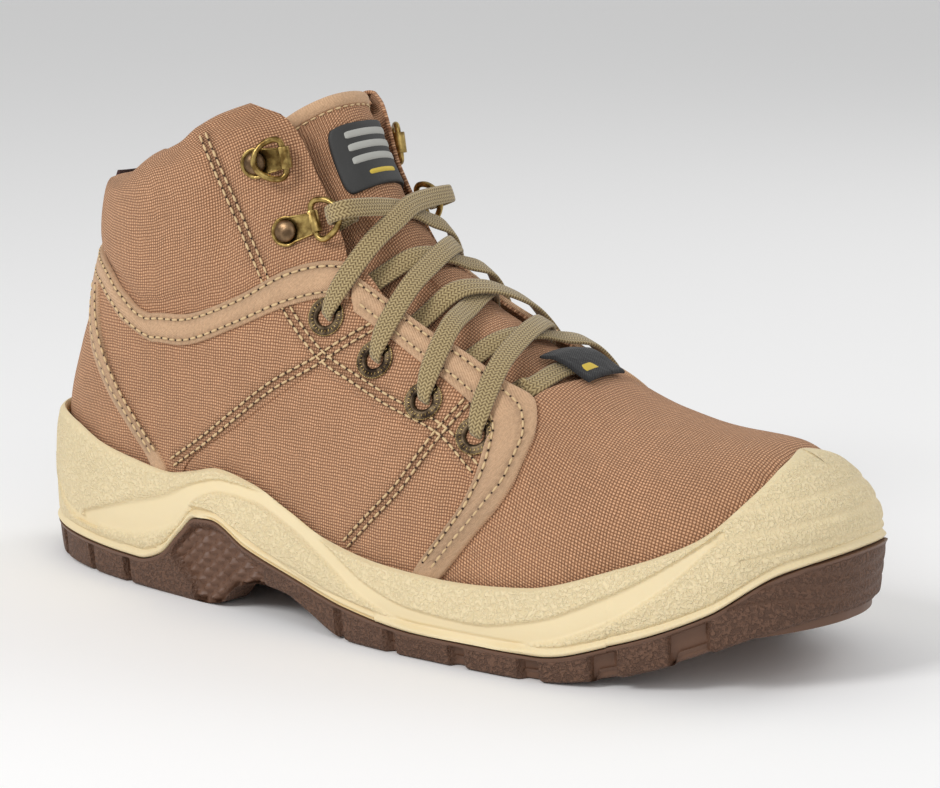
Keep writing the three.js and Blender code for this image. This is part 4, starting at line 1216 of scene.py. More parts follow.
@dataclass
class Stitching:
    """Every sewn row on the boot, and the dents that the rows pull into the cloth."""

    pitch: float = 3.1
    length: float = 2.75
    width: float = 0.86
    height: float = 0.85
    reach: float = 1.25  # how far to the side a row pulls the cloth down
    seams: tuple[Seam, ...] = (
        Seam(((89.5, 149.5, 0.3), (96.5, 136, 0.3), (104.5, 120, 0.3), (113, 105.5, 0.3))),
        Seam(((79.5, 42, 0.75), (92, 50, 0.75), (107, 61, 0.75), (122, 72, 0.75), (137, 80.5, 0.8),
              (147, 87.5, 0.8), (154, 92, 0.8)), (0.9, 3.4)),
        Seam(((156.5, 30, 0.1), (166, 39.5, 0.1), (176, 50, 0.1), (182.5, 60, 0.25), (187, 67, 0.8),
              (193, 77, 0.8))),
        Seam(((116, 102.5, 0.8), (127, 91, 0.8), (139, 82.5, 0.8), (151, 78, 0.8), (164, 73.5, 0.8),
              (187, 66.5, 0.8), (200, 58, 0.8)), (0.0, 2.5)),
        Seam(((145.5, 105.5, 1.9), (156, 100, 1.9), (170, 93, 1.9), (186, 86, 1.9), (199, 79.5, 1.9),
              (209, 73.5, 1.9), (213, 66, 1.9), (212.5, 58, 1.9), (207.5, 48.5, 1.9), (198.5, 36.5, 1.9),
              (192.5, 29, 1.9)), (0.0,)),
        Seam(((148.5, 99.5, 1.9), (159.5, 94, 1.9), (173, 87.5, 1.9), (188, 80.5, 1.9), (198.5, 74.5, 1.9),
              (204, 68, 1.9), (205, 59.5, 1.9), (202.5, 49.5, 1.9), (196.5, 39.5, 1.9), (189.5, 30.5, 1.9)),
             (0.0,)),
        Seam(((67.5, 46, 1.9), (58.5, 54.5, 1.9), (47.5, 65.5, 1.9), (38, 80, 1.9), (31.5, 95, 1.9)), (0.0,)),
        Seam(((69.5, 47, 1.9), (61, 55.5, 1.9), (50.5, 67, 1.9), (41.5, 81.5, 1.9), (36, 95, 1.9)), (0.0,)),
    )

    def __post_init__(self) -> None:
        """Lays out every row on both sides, and thins the rows out to the points that pull."""
        self.lines = [line for side in Side for seam in self.seams for line in seam.lines(side)]
        self.lines += self.collar_rows()
        self.sewn = np.vstack([p[::2] for p, _ in self.lines])

    def collar_rows(self) -> list[tuple[Array, Array]]:
        """The two rows that run round the collar band from side to side."""
        low = [(141.5, 103), (135, 103), (122, 99.7), (104, 91.7), (84, 84.2), (71, 83.7), (56, 88.2),
               (38, 98.7), heel(104.7)]
        high = [(140.5, 110.3), (133, 110.7), (121, 107.7), (104, 98.2), (84, 90.8), (71, 89.8),
                (56, 94.3), (38, 104.3), heel(110.3)]
        made = []
        for points in (low, high):
            p = FORM.on(around(points)(np.linspace(0, 1, 260)), 2.0)
            made.append((p, FORM.outward(p)))
        return made

    def dents(self, points: Array) -> Array:
        """How strongly the rows pull the cloth down at points, from 0 to 1."""
        flat = points.reshape(-1, 3)
        found = np.full(len(flat), 9.0)
        batch = 2000
        for start in range(0, len(flat), batch):
            part = flat[start : start + batch]
            gap = np.linalg.norm(part[:, None] - self.sewn[None], axis=-1).min(1)
            found[start : start + batch] = gap
        return np.exp(-((found / self.reach) ** 2)).reshape(points.shape[:-1])

    def build(self, beads: RowOfBeads) -> None:
        """Sews every row: the thread, and dark beads between its stitches as painted shade where the needle
        went through.
        """
        sizes = (self.pitch, self.length, self.width, self.height, 0)
        attach(beads.lay("stitching", self.lines, Finish.THREAD, sizes))
        # dark beads between the stitches, as painted shade in the needle's punctures
        hole_shade = (self.pitch, 0.75, 0.8, 0.42, self.pitch / 2)
        attach(beads.lay("needle_holes", self.lines, Finish.NEEDLE_HOLE, hole_shade))


# ---------------------------------------------------------------- the sole
def nearest_stroke(x: Array, z: Array, strokes: Sequence[Points]) -> Array:
    """Distance to the nearest of some strokes of points x, z and half width, in half widths."""
    found = np.full(x.shape, 9.0)
    for stroke in strokes:
        route = Path(stroke)(np.linspace(0, 1, 120))
        for px, pz, half in route:
            found = np.minimum(found, np.hypot(x - px, z - pz) / half)
    return found


@dataclass
class Sole:
    """The cream midsole, which wraps up over the toe, and the lugged brown outsole."""

    around: int = 920
    top: Curve = Curve([
        (0, 51.5), (0.04, 51), (0.085, 49), (0.139, 44.5), (0.19, 42), (0.251, 40), (0.29, 42), (0.33, 44.5),
        (0.383, 42), (0.437, 36), (0.49, 30), (0.577, 26), (0.655, 25), (0.753, 27), (0.83, 34),
        (0.908, 44), (0.962, 57.5), (1, 67),
    ])
    joint: Curve = Curve([
        (0, 12), (0.08, 11), (0.21, 10), (0.245, 13), (0.28, 22), (0.305, 28), (0.33, 28.5), (0.383, 22),
        (0.46, 16), (0.535, 11), (0.635, 8), (0.77, 8), (0.835, 13), (0.92, 24), (0.97, 36), (1, 40),
    ])
    tread: Curve = Curve([
        (0, 0), (0.3, 0), (0.335, 1.5), (0.36, 8), (0.4, 11), (0.44, 10), (0.475, 6), (0.52, 0.6),
        (0.545, 0), (0.76, 0), (0.82, 2), (0.9, 9.5), (0.96, 18), (1, 22.5),
    ])
    seat: Curve = Curve([
        (0, 27), (0.22, 27), (0.31, 28), (0.46, 22), (0.63, 17), (0.77, 16.5), (0.87, 19.5), (1, 25),
    ])
    bumper: Curve = Curve([(0.9, 0), (0.97, 0.7), (1, 0.9)])
    wall: Curve = Curve([(0, 6.5), (0.35, 7), (0.7, 5.6), (0.92, 4.2), (1, 2.9)])  # spread over the height
    bead: float = 0.7  # how far the bead along the midsole's foot stands out
    lug_height: float = 3.6
    lug_radius: float = 5.4
    lug_pitch: tuple[float, float] = (11.2, 13.0)  # from row to row, and along a row
    lug_clear: float = 15  # from a lug's middle to the form's side
    side_foot: float = 26  # below this height the wall goes straight down
    toe_foot: float = 37  # the same at the toe
    swooshes: tuple = (
        ((36, 19, 2.2), (50, 21, 4.5), (66, 24, 6.5), (80, 28.5, 6), (92, 36.5, 3), (104, 40, 2.2),
         (118, 39, 2.1), (133, 34, 2.1), (150, 26.5, 2.2), (170, 17.5, 2.6), (188, 13, 3), (210, 11.8, 3.4),
         (232, 15.5, 3.8), (250, 23, 4), (264, 32, 3.2), (274, 41, 2), (279, 46.5, 1.5)),
        ((90, 31, 1), (98, 30.5, 1.6), (110, 26.5, 2), (128, 19.5, 2.2), (150, 13.5, 2.2), (172, 10.5, 2)),
        ((6, 33, 0.8), (14, 25, 1.2), (26, 18.5, 1.4), (42, 16.5, 0.9)),
    )
    toe_lines: tuple = (
        ((279, 52, 0.4), (288, 54.5, 1), (297, 57, 1.1), (309, 60, 1.1)),
        ((277, 45, 0.4), (287, 47.5, 1), (297, 50, 1.1), (310, 53, 1.1)),
        ((286, 40.5, 0.4), (298, 43.5, 0.8), (310, 46, 0.8)),
    )
    flow_lines: tuple = (
        ((288, 37, 0.5), (297, 38, 1), (303, 35, 1.1), (310, 33, 1.1)),
        ((286, 32, 0.5), (297, 33, 1), (303, 30.5, 1.1), (310, 29, 1.1)),
        ((284, 27, 0.5), (296, 28.5, 1), (303, 26.5, 1.1), (310, 25.5, 1.1)),
    )
    notches: tuple = (
        (18, 2.4), (38, 2.4), (58, 2.8), (158, 2.6), (179, 3.4), (204, 4.8), (229, 6), (251, 7), (274, 10),
    )

    def __post_init__(self) -> None:
        """Works out the turn and the share along the sole of each step round it."""
        self.theta = np.arange(self.around) / self.around * 2 * math.pi
        self.s = (1 - np.cos(self.theta)) / 2

    def ring(self, z: Array, out: float | Array, level: bool = False) -> Array:
        """A ring round the sole.

        Args:
            z: Its height at each step.
            out: Its distance off the form, everywhere or at each step.
            level: Whether it goes straight sideways everywhere.

        Returns:
            Its points.
        """
        seen = np.maximum(z, self.side_foot)
        x = lerp(FORM.heel(seen), FORM.toe(np.maximum(z, self.toe_foot)), self.s)
        sideways = np.where(x < FORM.hub[0], seen, np.maximum(z, FORM.feather(x)))
        lateral = self.theta <= math.pi
        sign = np.where(lateral, 1, -1)
        y = FORM.middle(x) - sign * FORM.spread(x, sideways, lateral)
        middle = [0, self.around // 2]
        y[middle] = FORM.middle(x[middle])
        p = np.stack([x, y, sideways], axis=-1)
        away = FORM.outward(p)
        away[0] = (-1, 0, 0)
        tip = self.around // 2
        away[tip] = unit((away[tip - 1] + away[tip + 1]) * (1, 0, 1))
        flat = np.ones(self.around, bool) if level else z < np.maximum(30, sideways + 0.5)
        away[flat, 2] = 0
        away = unit(away)
        p = p + away * np.asarray(out)[..., None]
        p[:, 2] += z - sideways
        return p

    def loft(self, rings: Sequence[tuple[Array, float | Array]]) -> Shape:
        """Rings joined in order, with the first and last closed from side to side.

        Args:
            rings: Each ring, and how smooth its surface is there, from 0 to 1.

        Returns:
            The closed shape with its mask "smooth".
        """
        count = self.around
        faces = ring_faces(len(rings), count)
        for base, turn in ((0, -1), ((len(rings) - 1) * count, 1)):
            for i in range(count // 2):
                corner = [base + i, base + i + 1, base + count - i - 1, base + (count - i) % count]
                face = list(dict.fromkeys(corner))
                faces.append(tuple(face[::turn]))
        smooth = np.concatenate([np.broadcast_to(mask, count) for _, mask in rings])
        return Shape(np.vstack([ring for ring, _ in rings]), faces, masks={"smooth": smooth}).facing_out()

    def midsole(self) -> Shape:
        """The wall with its swooshes and bead, the rolled lip and the tub inside."""
        high, low, seat = (curve(self.s) for curve in (self.top, self.joint, self.seat))
        foot = low + 0.3
        rings = []
        floor = np.minimum(low - 1, seat - 6)
        for z, out in ((floor + 0.3, 2.5), (foot, 2.7), (foot, 5.9), (foot + 0.15, 6.4)):
            rings.append((self.ring(z, out, True), 1))
        for t in np.linspace(0.012, 1, 64):
            z = lerp(foot, high, t)
            up = z - foot
            plain = self.ring(z, float(self.wall(t)))
            near = nearest_stroke(plain[:, 0], z, self.swooshes)
            line = np.exp(-(nearest_stroke(plain[:, 0], z, self.toe_lines) ** 2))
            sunk = 1 - ease(0.66, 1.12, near)
            crest = np.exp(-(((near - 1.3) / 0.22) ** 2))
            bead = self.bead * np.exp(-(((up - 1.1) / 0.7) ** 2))
            groove = 0.6 * np.exp(-(((up - 2.7) / 0.6) ** 2)) * (high - foot > 14)
            lip = 0.5 * ease(0.9, 1, t) * (1 - ease(0.97, 1, t))
            out = self.wall(t) - 1.15 * sunk + 0.22 * crest + bead - groove + lip - 0.55 * line
            smooth = sunk + (up < 2.9) * 0.8 + ease(0.94, 1, t) * 0.6 + 0.5 * line
            rings.append((self.ring(z, out), np.clip(smooth, 0, 1)))
        for t, out in ((1.0, 2.3), (0.99, 1.8), (0.97, 1.5), (0.85, 1.5), (0.65, 1.5), (0.4, 1.5), (0, 1.5)):
            rise = 0.25 if out == 2.3 else 0
            rings.append((self.ring(lerp(seat, high, t) + rise, out), 1))
        return self.loft(rings)

    def notch(self, x: Array) -> Array:
        """1 in the notches between the side lugs and 0 on the lugs."""
        cut = np.zeros(x.shape)
        for at, wide in self.notches:
            cut = np.maximum(cut, 1 - ease(wide / 2 - 0.5, wide / 2 + 0.5, np.abs(x - at)))
        return cut

    def arch(self, x: Array, z: Array, joint: Array) -> tuple[Array, Array]:
        """The studded recess under the arch: how deep it is, and its small pyramids."""
        left = 80.5 + 10 * np.clip((18 - z) / 12, 0, 1) ** 2
        inside = ease(0, 1.4, x - left) * ease(0, 1.6, joint - 1.6 - z) * (1 - ease(121, 126, x))
        pitch = 6.2
        a, b = (x + 1.2 * z) / pitch, (x - 1.2 * z) / pitch
        tooth = np.minimum(1 - np.abs(2 * (a % 1) - 1), 1 - np.abs(2 * (b % 1) - 1))
        return inside, tooth

    def outsole(self) -> Shape:
        """The rubber wall with its notches and recess, the lugs' feet and the sunken floor."""
        low, high, seat = (curve(self.s) for curve in (self.tread, self.joint, self.seat))
        extra = self.bumper(self.s)
        rings = []
        floor = np.minimum(high - 1, seat - 6)
        for z, out in ((floor, 3.0), (high, 3.2), (high, 5.9)):
            rings.append((self.ring(z, out + extra * 0.6, True), 1))
        for t in np.linspace(1, 0, 44):
            z = lerp(low, high, t)
            out = lerp(4.9, 6.5, t**0.6) + extra * (0.6 + 0.4 * t) - 0.9 * (1 - ease(0, 0.12, t)) ** 2
            x = self.ring(z, out, True)[:, 0]
            below = ease(0.9, 2.2, high - z)
            cut = self.notch(x) * below
            inside, tooth = self.arch(x, z, high)
            near = nearest_stroke(x, z, self.flow_lines)
            line = np.exp(-(near**2)) * 0.6
            rib = 0.35 * ease(0.2, 1.2, high - z)
            out = out + 0.35 - rib - 2.6 * cut - inside * (2.7 - 2.2 * tooth) - line
            rings.append((self.ring(z, out, True), np.clip(cut + inside + (high - z < 1.2) + line, 0, 1)))
        cut = self.notch(rings[-1][0][:, 0])
        for inset, rise in ((-0.2, 0.0), (-7, 0.0), (-11, 0.0), (-12, 1.0), (-13, 1.0), (-24, 1.0)):
            z = low + self.lug_height * np.maximum(rise, cut)
            z = np.minimum(z, np.minimum(high, seat) - 3)
            rings.append((self.ring(z, 4.2 + inset + extra * 0.6, True), np.clip(cut + rise, 0, 1)))
        return self.loft(rings)

    def lugs(self) -> bpy.types.Object:
        """The lugs on the sunken floor of the forefoot and the heel."""
        mesh = bpy.data.meshes.new("lug_feet")
        mesh.from_pydata(((self._lug_feet() - ORIGIN) * MM).tolist(), [], [])
        sizes = (self.lug_radius, self.lug_height + 0.6)
        return TreadLugs().run("tread_lugs", mesh, Finish.RUBBER, sizes)

    def _lug_feet(self) -> Array:
        """The middles of the lugs: staggered rows where the tread is level."""
        feet = []
        for row, x in enumerate(np.arange(22, 262, self.lug_pitch[0])):
            share = (x - 3) / 295.5
            if float(self.tread(share)) > 1.0:
                continue
            half = min(float(FORM.spread(np.array(x), np.array(29.0), np.array(side))) for side in (0, 1))
            for y in np.arange(-39, 40, self.lug_pitch[1]) + (self.lug_pitch[1] / 2 if row % 2 else 0):
                if abs(y) < half - self.lug_clear:
                    middle = float(FORM.middle(x))
                    feet.append((x, middle + y, self.lug_height / 2 + 0.3 + float(self.tread(share))))
        return np.array(feet)

    def footbed(self) -> Shape:
        """The felt-topped footbed inside the boot, with a cupped heel."""
        seat = self.seat(self.s)
        rings = []
        for rise, inset in ((5.2, 8.4), (5.2, 8.0), (8.8, 7.9), (9.4, 8.6), (9.2, 12), (8.6, 20), (8.2, 30)):
            rings.append((self.ring(seat + rise, -inset), 1))
        return self.loft(rings)

    def build(self) -> None:
        """Makes the sole's three pieces."""
        add("midsole_wall", self.midsole(), Finish.CREAM, "cream_polyurethane", "midsole")
        add("lugged_outsole", self.outsole(), Finish.RUBBER, "brown_rubber", "outsole")
        attach(self.lugs())
        add("felt_footbed", self.footbed(), Finish.FELT, "footbed_felt", "footbed")


# ---------------------------------------------------------------- the upper
COLLAR_TOP = ((106, 160), (98, 157), (88, 152), (79, 146), (68, 142), (52, 134), (32, 131.5))
COLLAR_FRONT = ((140, 110.5), (134, 121), (128, 131), (121, 144), (114, 156), (106, 160))
JOIN = ((140, 110.5), (122, 105.5), (104, 95.5), (84, 88), (71, 87.5), (56, 92), (38, 102))
TRIM = ((76, 29.5), (73, 38), (63, 50), (51, 62), (41, 79), (33, 99))
FACING = ((142.5, 108.5), (155, 102), (169, 95), (185, 88), (199, 81.5), (211, 76))
FACING_FRONT = ((190, 18.5), (194, 25), (206, 40), (213, 50), (215.5, 57), (216, 66), (211, 76))
EYESTAY_LOW = ((115, 100.5), (127, 89), (139, 80), (151, 75.5), (164, 71), (187, 64), (203, 54), (213, 50))
BAND_INNER = (
    (146, 98), (158, 92.5), (172, 86), (187, 79), (197, 73), (202, 67), (203, 59), (201, 50),
    (195, 40), (186, 28), (181, 19.5),
)
THROAT = 215.0


@dataclass
class Upper:
    """The sewn canvas panels, their bands and the linings."""

    stitching: Stitching
    puff: float = 3.6  # how far the padded collar stands proud
    roll: float = 2.6  # the radius of its rolled top
    tuck: float = 2.5  # each of the three steps down inside
    skin: float = 1.2

    def bulge(self, u: Array, v: Array) -> Array:
        """The padded collar: nothing under the band and ahead of its last seam."""
        along = np.clip(u / 0.72, 0, 1)
        up = np.clip((v - 0.17) / 0.83, 0, 1)
        swell = self.puff * (4 * along * (1 - along)) ** 0.5 * (4 * up * (1 - up)) ** 0.45
        return swell + 0.25 * np.sin(9 * u + 4 * v) * up * along

    def foot(self, station: Array, lift: float) -> Array:
        """The angle of a toe piece's lower edge at stations, `lift` above the sole's seat."""
        x = FORM.hub[0] - np.asarray(station, float)
        s = np.clip((x - 3) / (FORM.toe_tip - 3), 0, 1)
        z = np.minimum(Sole.seat(s) + lift, FORM.feather(x) + 4)
        return np.minimum(FORM.place(x, z)[..., 1], 2.6)

    def toe_chart(self, rear: Path, front: float, lift: float) -> Callable[..., Array]:
        """The chart of a piece over the toe between a rear edge and a station near the tip."""
        tip = FORM.hub[0] - front
        ends = (rear(0)[0], rear(1)[0])

        def foot(start: float, side: int) -> Callable[[Array], Array]:
            def along(u: Array) -> Array:
                station = lerp(start, tip, np.asarray(u, float))
                return np.stack([station, side * self.foot(station, lift)], axis=-1)
            return along

        def across(v: Array) -> Array:
            v = np.asarray(v, float)
            return np.stack([np.full(v.shape, tip), (1 - 2 * v) * self.foot(tip, lift)], axis=-1)

        chart = coons(foot(ends[0], 1), foot(ends[1], -1), rear, across)
        return lambda u, v: chart(1 - (1 - u) ** 1.5, v)

    def vamp(self) -> None:
        """The canvas over the toes, tucked under the facing bands and the sole's lip."""
        half = placed([(x - 2.5, z) for x, z in FACING_FRONT])
        half = np.vstack([half, [[FORM.hub[0] - THROAT, 0]]])
        mirrored = np.vstack([half, half[-2::-1] * (1, -1)])
        chart = self.toe_chart(Path(mirrored, (1, 36)), 298.2, 1.5)
        panel = Panel(chart, (105, 170), 0.25, -1.3, Weave.ACROSS, 1.5)
        add("vamp_canvas", panel.shape(), Finish.CANVAS, "canvas", "vamp")

    def quarters(self, side: Side) -> None:
        """The side panels, each sewn down on the next."""
        word, dents = side.word, self.stitching.dents
        front = [
            [(80, 30), (105, 29.5), (135, 25.5), (193, 18.8)],
            [(141, 83.5), (152, 79), (165, 75), (188, 68), (204, 58), (215, 53)],
            [(80, 30), (80.5, 41), (106, 63), (141, 83.5)],
            [(193, 18.8), (197, 25), (209, 40), (215, 53)],
        ]
        rear = [
            [(75.5, 29.5), (80, 29.5)],
            [(33, 100.5), (56, 92), (71, 88), (84, 88.5), (104, 96), (114, 102.5), (127, 91), (139.5, 82)],
            shift(TRIM, -0.7, 0),
            [(80, 29.5), (82, 40), (108, 60), (139.5, 82)],
        ]
        stay = [
            EYESTAY_LOW,
            [(116.5, 103), (122, 106), (141, 111), *FACING[1:]],
            [(115, 100.5), (116.5, 103)],
            [(213, 50), (215, 57), (215.4, 66), (211, 76)],
        ]
        for name, edges, size, outer, inner, step, node in (
            ("quarter", front, (125, 55), 0.0, -1.4, 1.6, "quarter"),
            ("rear_quarter", rear, (95, 62), 0.62, -0.6, 1.6, "quarter_rear"),
            ("eyestay_canvas", stay, (105, 24), 0.72, -0.7, 1.4, "eyestay"),
        ):
            panel = Panel(side_chart(edges, side), size, outer, inner, step=step)
            add(f"{name}_{word}", panel.shape(dents), Finish.CANVAS, "canvas", f"{node}_{word}")

    def band(self, v: Array) -> Array:
        """A band's height across its width: full in the middle, drawn in at its two rows."""
        rows = np.exp(-(((v - 0.16) / 0.09) ** 2)) + np.exp(-(((v - 0.84) / 0.09) ** 2))
        return 2.0 + 0.25 * np.sin(math.pi * v) - 0.3 * rows

    def bands(self, side: Side) -> None:
        """The facing band beside the eyelets and the trim beside the heel patch."""
        word, dents = side.word, self.stitching.dents
        facing = [
            BAND_INNER,
            [*FACING, (216, 66), (215.5, 57), (213, 50), (206, 40), (190, 19.5)],
            [(146, 98), (143.5, 103), (142.5, 108.5)],
            [(181, 19.5), (190, 19.5)],
        ]
        heel_trim = [
            [(72, 30), (78, 30)],
            [(27.5, 100), (36, 100)],
            [(72, 30), (67.5, 41), (57, 52), (46, 63), (36, 78), (27.5, 100)],
            [(78, 30), (74.5, 41), (64.5, 51), (52.5, 63), (43, 79), (36, 100)],
        ]
        for name, edges, size, outer, inner, node in (
            ("facing_tape", facing, (175, 10), lambda u, v: self.band(v), 0.3, "facing_band"),
            ("heel_tape", heel_trim, (7, 90), lambda u, v: self.band(u), 0.1, "heel_trim"),
        ):
            panel = Panel(side_chart(edges, side), size, outer, inner, Weave.ALONG, 0.9, drawn=0.1)
            add(f"{name}_{word}", panel.shape(dents), Finish.TRIM, "beige_leather", f"{node}_{word}")

    def collar(self, side: Side) -> None:
        """The padded ankle panel, rolled over its top edge to the lining."""
        word = side.word
        back = [placed([heel(z)])[0][0] for z in (110.0, 131.0)]
        low = edge(shift([heel(109.5), *JOIN[::-1]], 0, -1.5))
        start = Path([(back[0], math.pi), (back[1], math.pi)])
        chart = coons(low, edge([heel(131), *COLLAR_TOP[::-1]]), start, edge(COLLAR_FRONT))
        u, v = np.meshgrid(stops(135, 1.5), np.linspace(0, 1, 48))
        places = chart(u, v)
        places[..., 1] = np.minimum(places[..., 1], math.pi - 0.002)
        lift = self.bulge(u, v) + 0.55 * ease(0.9, 1, u) * ease(0.1, 0.3, v)
        pulled = self.stitching.dents(self.sided(places, lift, side)) * ease(0.1, 0.2, v)
        outer = self.sided(places, lift - Panel.drawn * pulled, side)
        cloth = cloth_on(outer, Weave.ALONG)
        upward = unit(outer[-1] - outer[-3])
        normal = FORM.outward(outer[-1])
        rows, flat, radius, tuck = [outer], [cloth], self.roll, self.tuck
        for turn in np.linspace(0, math.pi, 11)[1:]:
            ring = outer[-1] + upward * radius * math.sin(turn) - normal * radius * (1 - math.cos(turn))
            rows.append(ring[None])
            flat.append(cloth[-1][None] + (0, radius * turn))
        for _ in range(3):
            rows.append((rows[-1][0] - upward * tuck)[None])
            flat.append(flat[-1][0][None] + (0, tuck))
        points = np.concatenate(rows)
        # the mask sewn carries the stitches' dents to the material as painted shade
        masks = {"sewn": np.concatenate([pulled, np.zeros((len(rows) - 1, u.shape[1]))]).ravel()}
        skin = self._skin_shape(points, np.concatenate(flat), masks, side)
        self._skin(f"ankle_collar_{word}", skin, [f"ankle_panel_{word}"])

    def sided(self, places: Array, lift: Array, side: Side) -> Array:
        """Points at places drawn for the lateral side, on either side."""
        return FORM.on(places * (1, side.value), lift)

    def _skin_shape(self, points: Array, cloth: Array, masks: dict[str, Array], side: Side) -> Shape:
        """An open grid of points as a shape that faces out."""
        rows, columns = points.shape[:2]
        faces = []
        for j in range(rows - 1):
            for i in range(columns - 1):
                a = j * columns + i
                b = a + columns
                faces.append((a, b, b + 1, a + 1) if side is Side.MEDIAL else (b, a, a + 1, b + 1))
        return Shape(points.reshape(-1, 3), faces, cloth.reshape(-1, 2), masks)

    def _skin(self, name: str, shape: Shape, nodes: Sequence[str]) -> bpy.types.Object:
        """An open skin given a wall on its inner side."""
        made = new_object(name, shape, Finish.CANVAS)
        wall = made.modifiers.new("wall", "SOLIDIFY")
        wall.thickness = self.skin * MM
        wall.offset = -1
        graph = bpy.context.evaluated_depsgraph_get()
        made.data = bpy.data.meshes.new_from_object(made.evaluated_get(graph))
        made.modifiers.clear()
        return attach(made, nodes)

    def heel_pieces(self) -> None:
        """The heel patch, the collar band, the lining and the pull tab."""
        dents = self.stitching.dents
        chart = round_chart(
            [(77, 29.5), (50, 29), (25, 29), (10, 29), heel(29)], [(33, 101), heel(108)],
            [*shift(TRIM, 1.0, 0)[:-1], (33, 101)],
        )
        patch = Panel(chart, (190, 75), 0.1, -1.4, Weave.AROUND)
        add("heel_canvas", patch.shape(dents), Finish.CANVAS, "canvas", "heel_patch")
        chart = round_chart(
            [(143, 101.5), (135, 101.5), (122, 98), (104, 90), (84, 82.5), (71, 82), (56, 86.5), (38, 97),
             heel(103)],
            [(141, 112), (133, 112.5), (121, 109.5), (104, 100), (84, 92.5), (71, 91.5), (56, 96),
             (38, 106), heel(112)],
            [(143, 101.5), (142, 107), (141, 112)],
        )
        tape = Panel(chart, (330, 9.5), lambda u, v: self.band(v), 0.3, Weave.ALONG, 0.9, drawn=0.1)
        add("collar_tape", tape.shape(dents), Finish.TRIM, "beige_leather", "collar_band")
        chart = round_chart(
            [(187, 20), (150, 24), (120, 26.5), (78, 29.5), (50, 29), (25, 29), (10, 29), heel(29)],
            [(103, 157), (96, 155.5), (88, 151), (79, 145), (68, 141), (52, 133), (32, 130.5), heel(130)],
            [(187, 20), (187, 38), (174, 58), (148, 78), (128, 102), (117, 125), (108, 146), (103, 157)],
        )
        lining = Panel(chart, (330, 110), -3.9, -4.8, Weave.AROUND)
        add("mesh_lining", lining.shape(), Finish.LINING, "lining_mesh", "lining")

        def tab(u: Array, v: Array) -> Array:
            low, high = (placed([heel(z)])[0][0] for z in (112.8, 131.5))
            return np.stack([lerp(low, high, v), math.pi + (u - 0.5) * 0.42], axis=-1)

        def stand_out(lift: float) -> Field:
            return lambda u, v: lift + 1.7 * np.sin(math.pi * v)

        shape = Panel(tab, (20, 23), stand_out(3.7), stand_out(2.3), Weave.ALONG, 1.0).shape()
        add("heel_tab", shape, Finish.PULL, "dark_webbing", "pull_tab")

    def build(self) -> None:
        """Makes the upper's pieces."""
        self.vamp()
        for side in Side:
            self.quarters(side)
            self.bands(side)
            self.collar(side)
        self.heel_pieces()


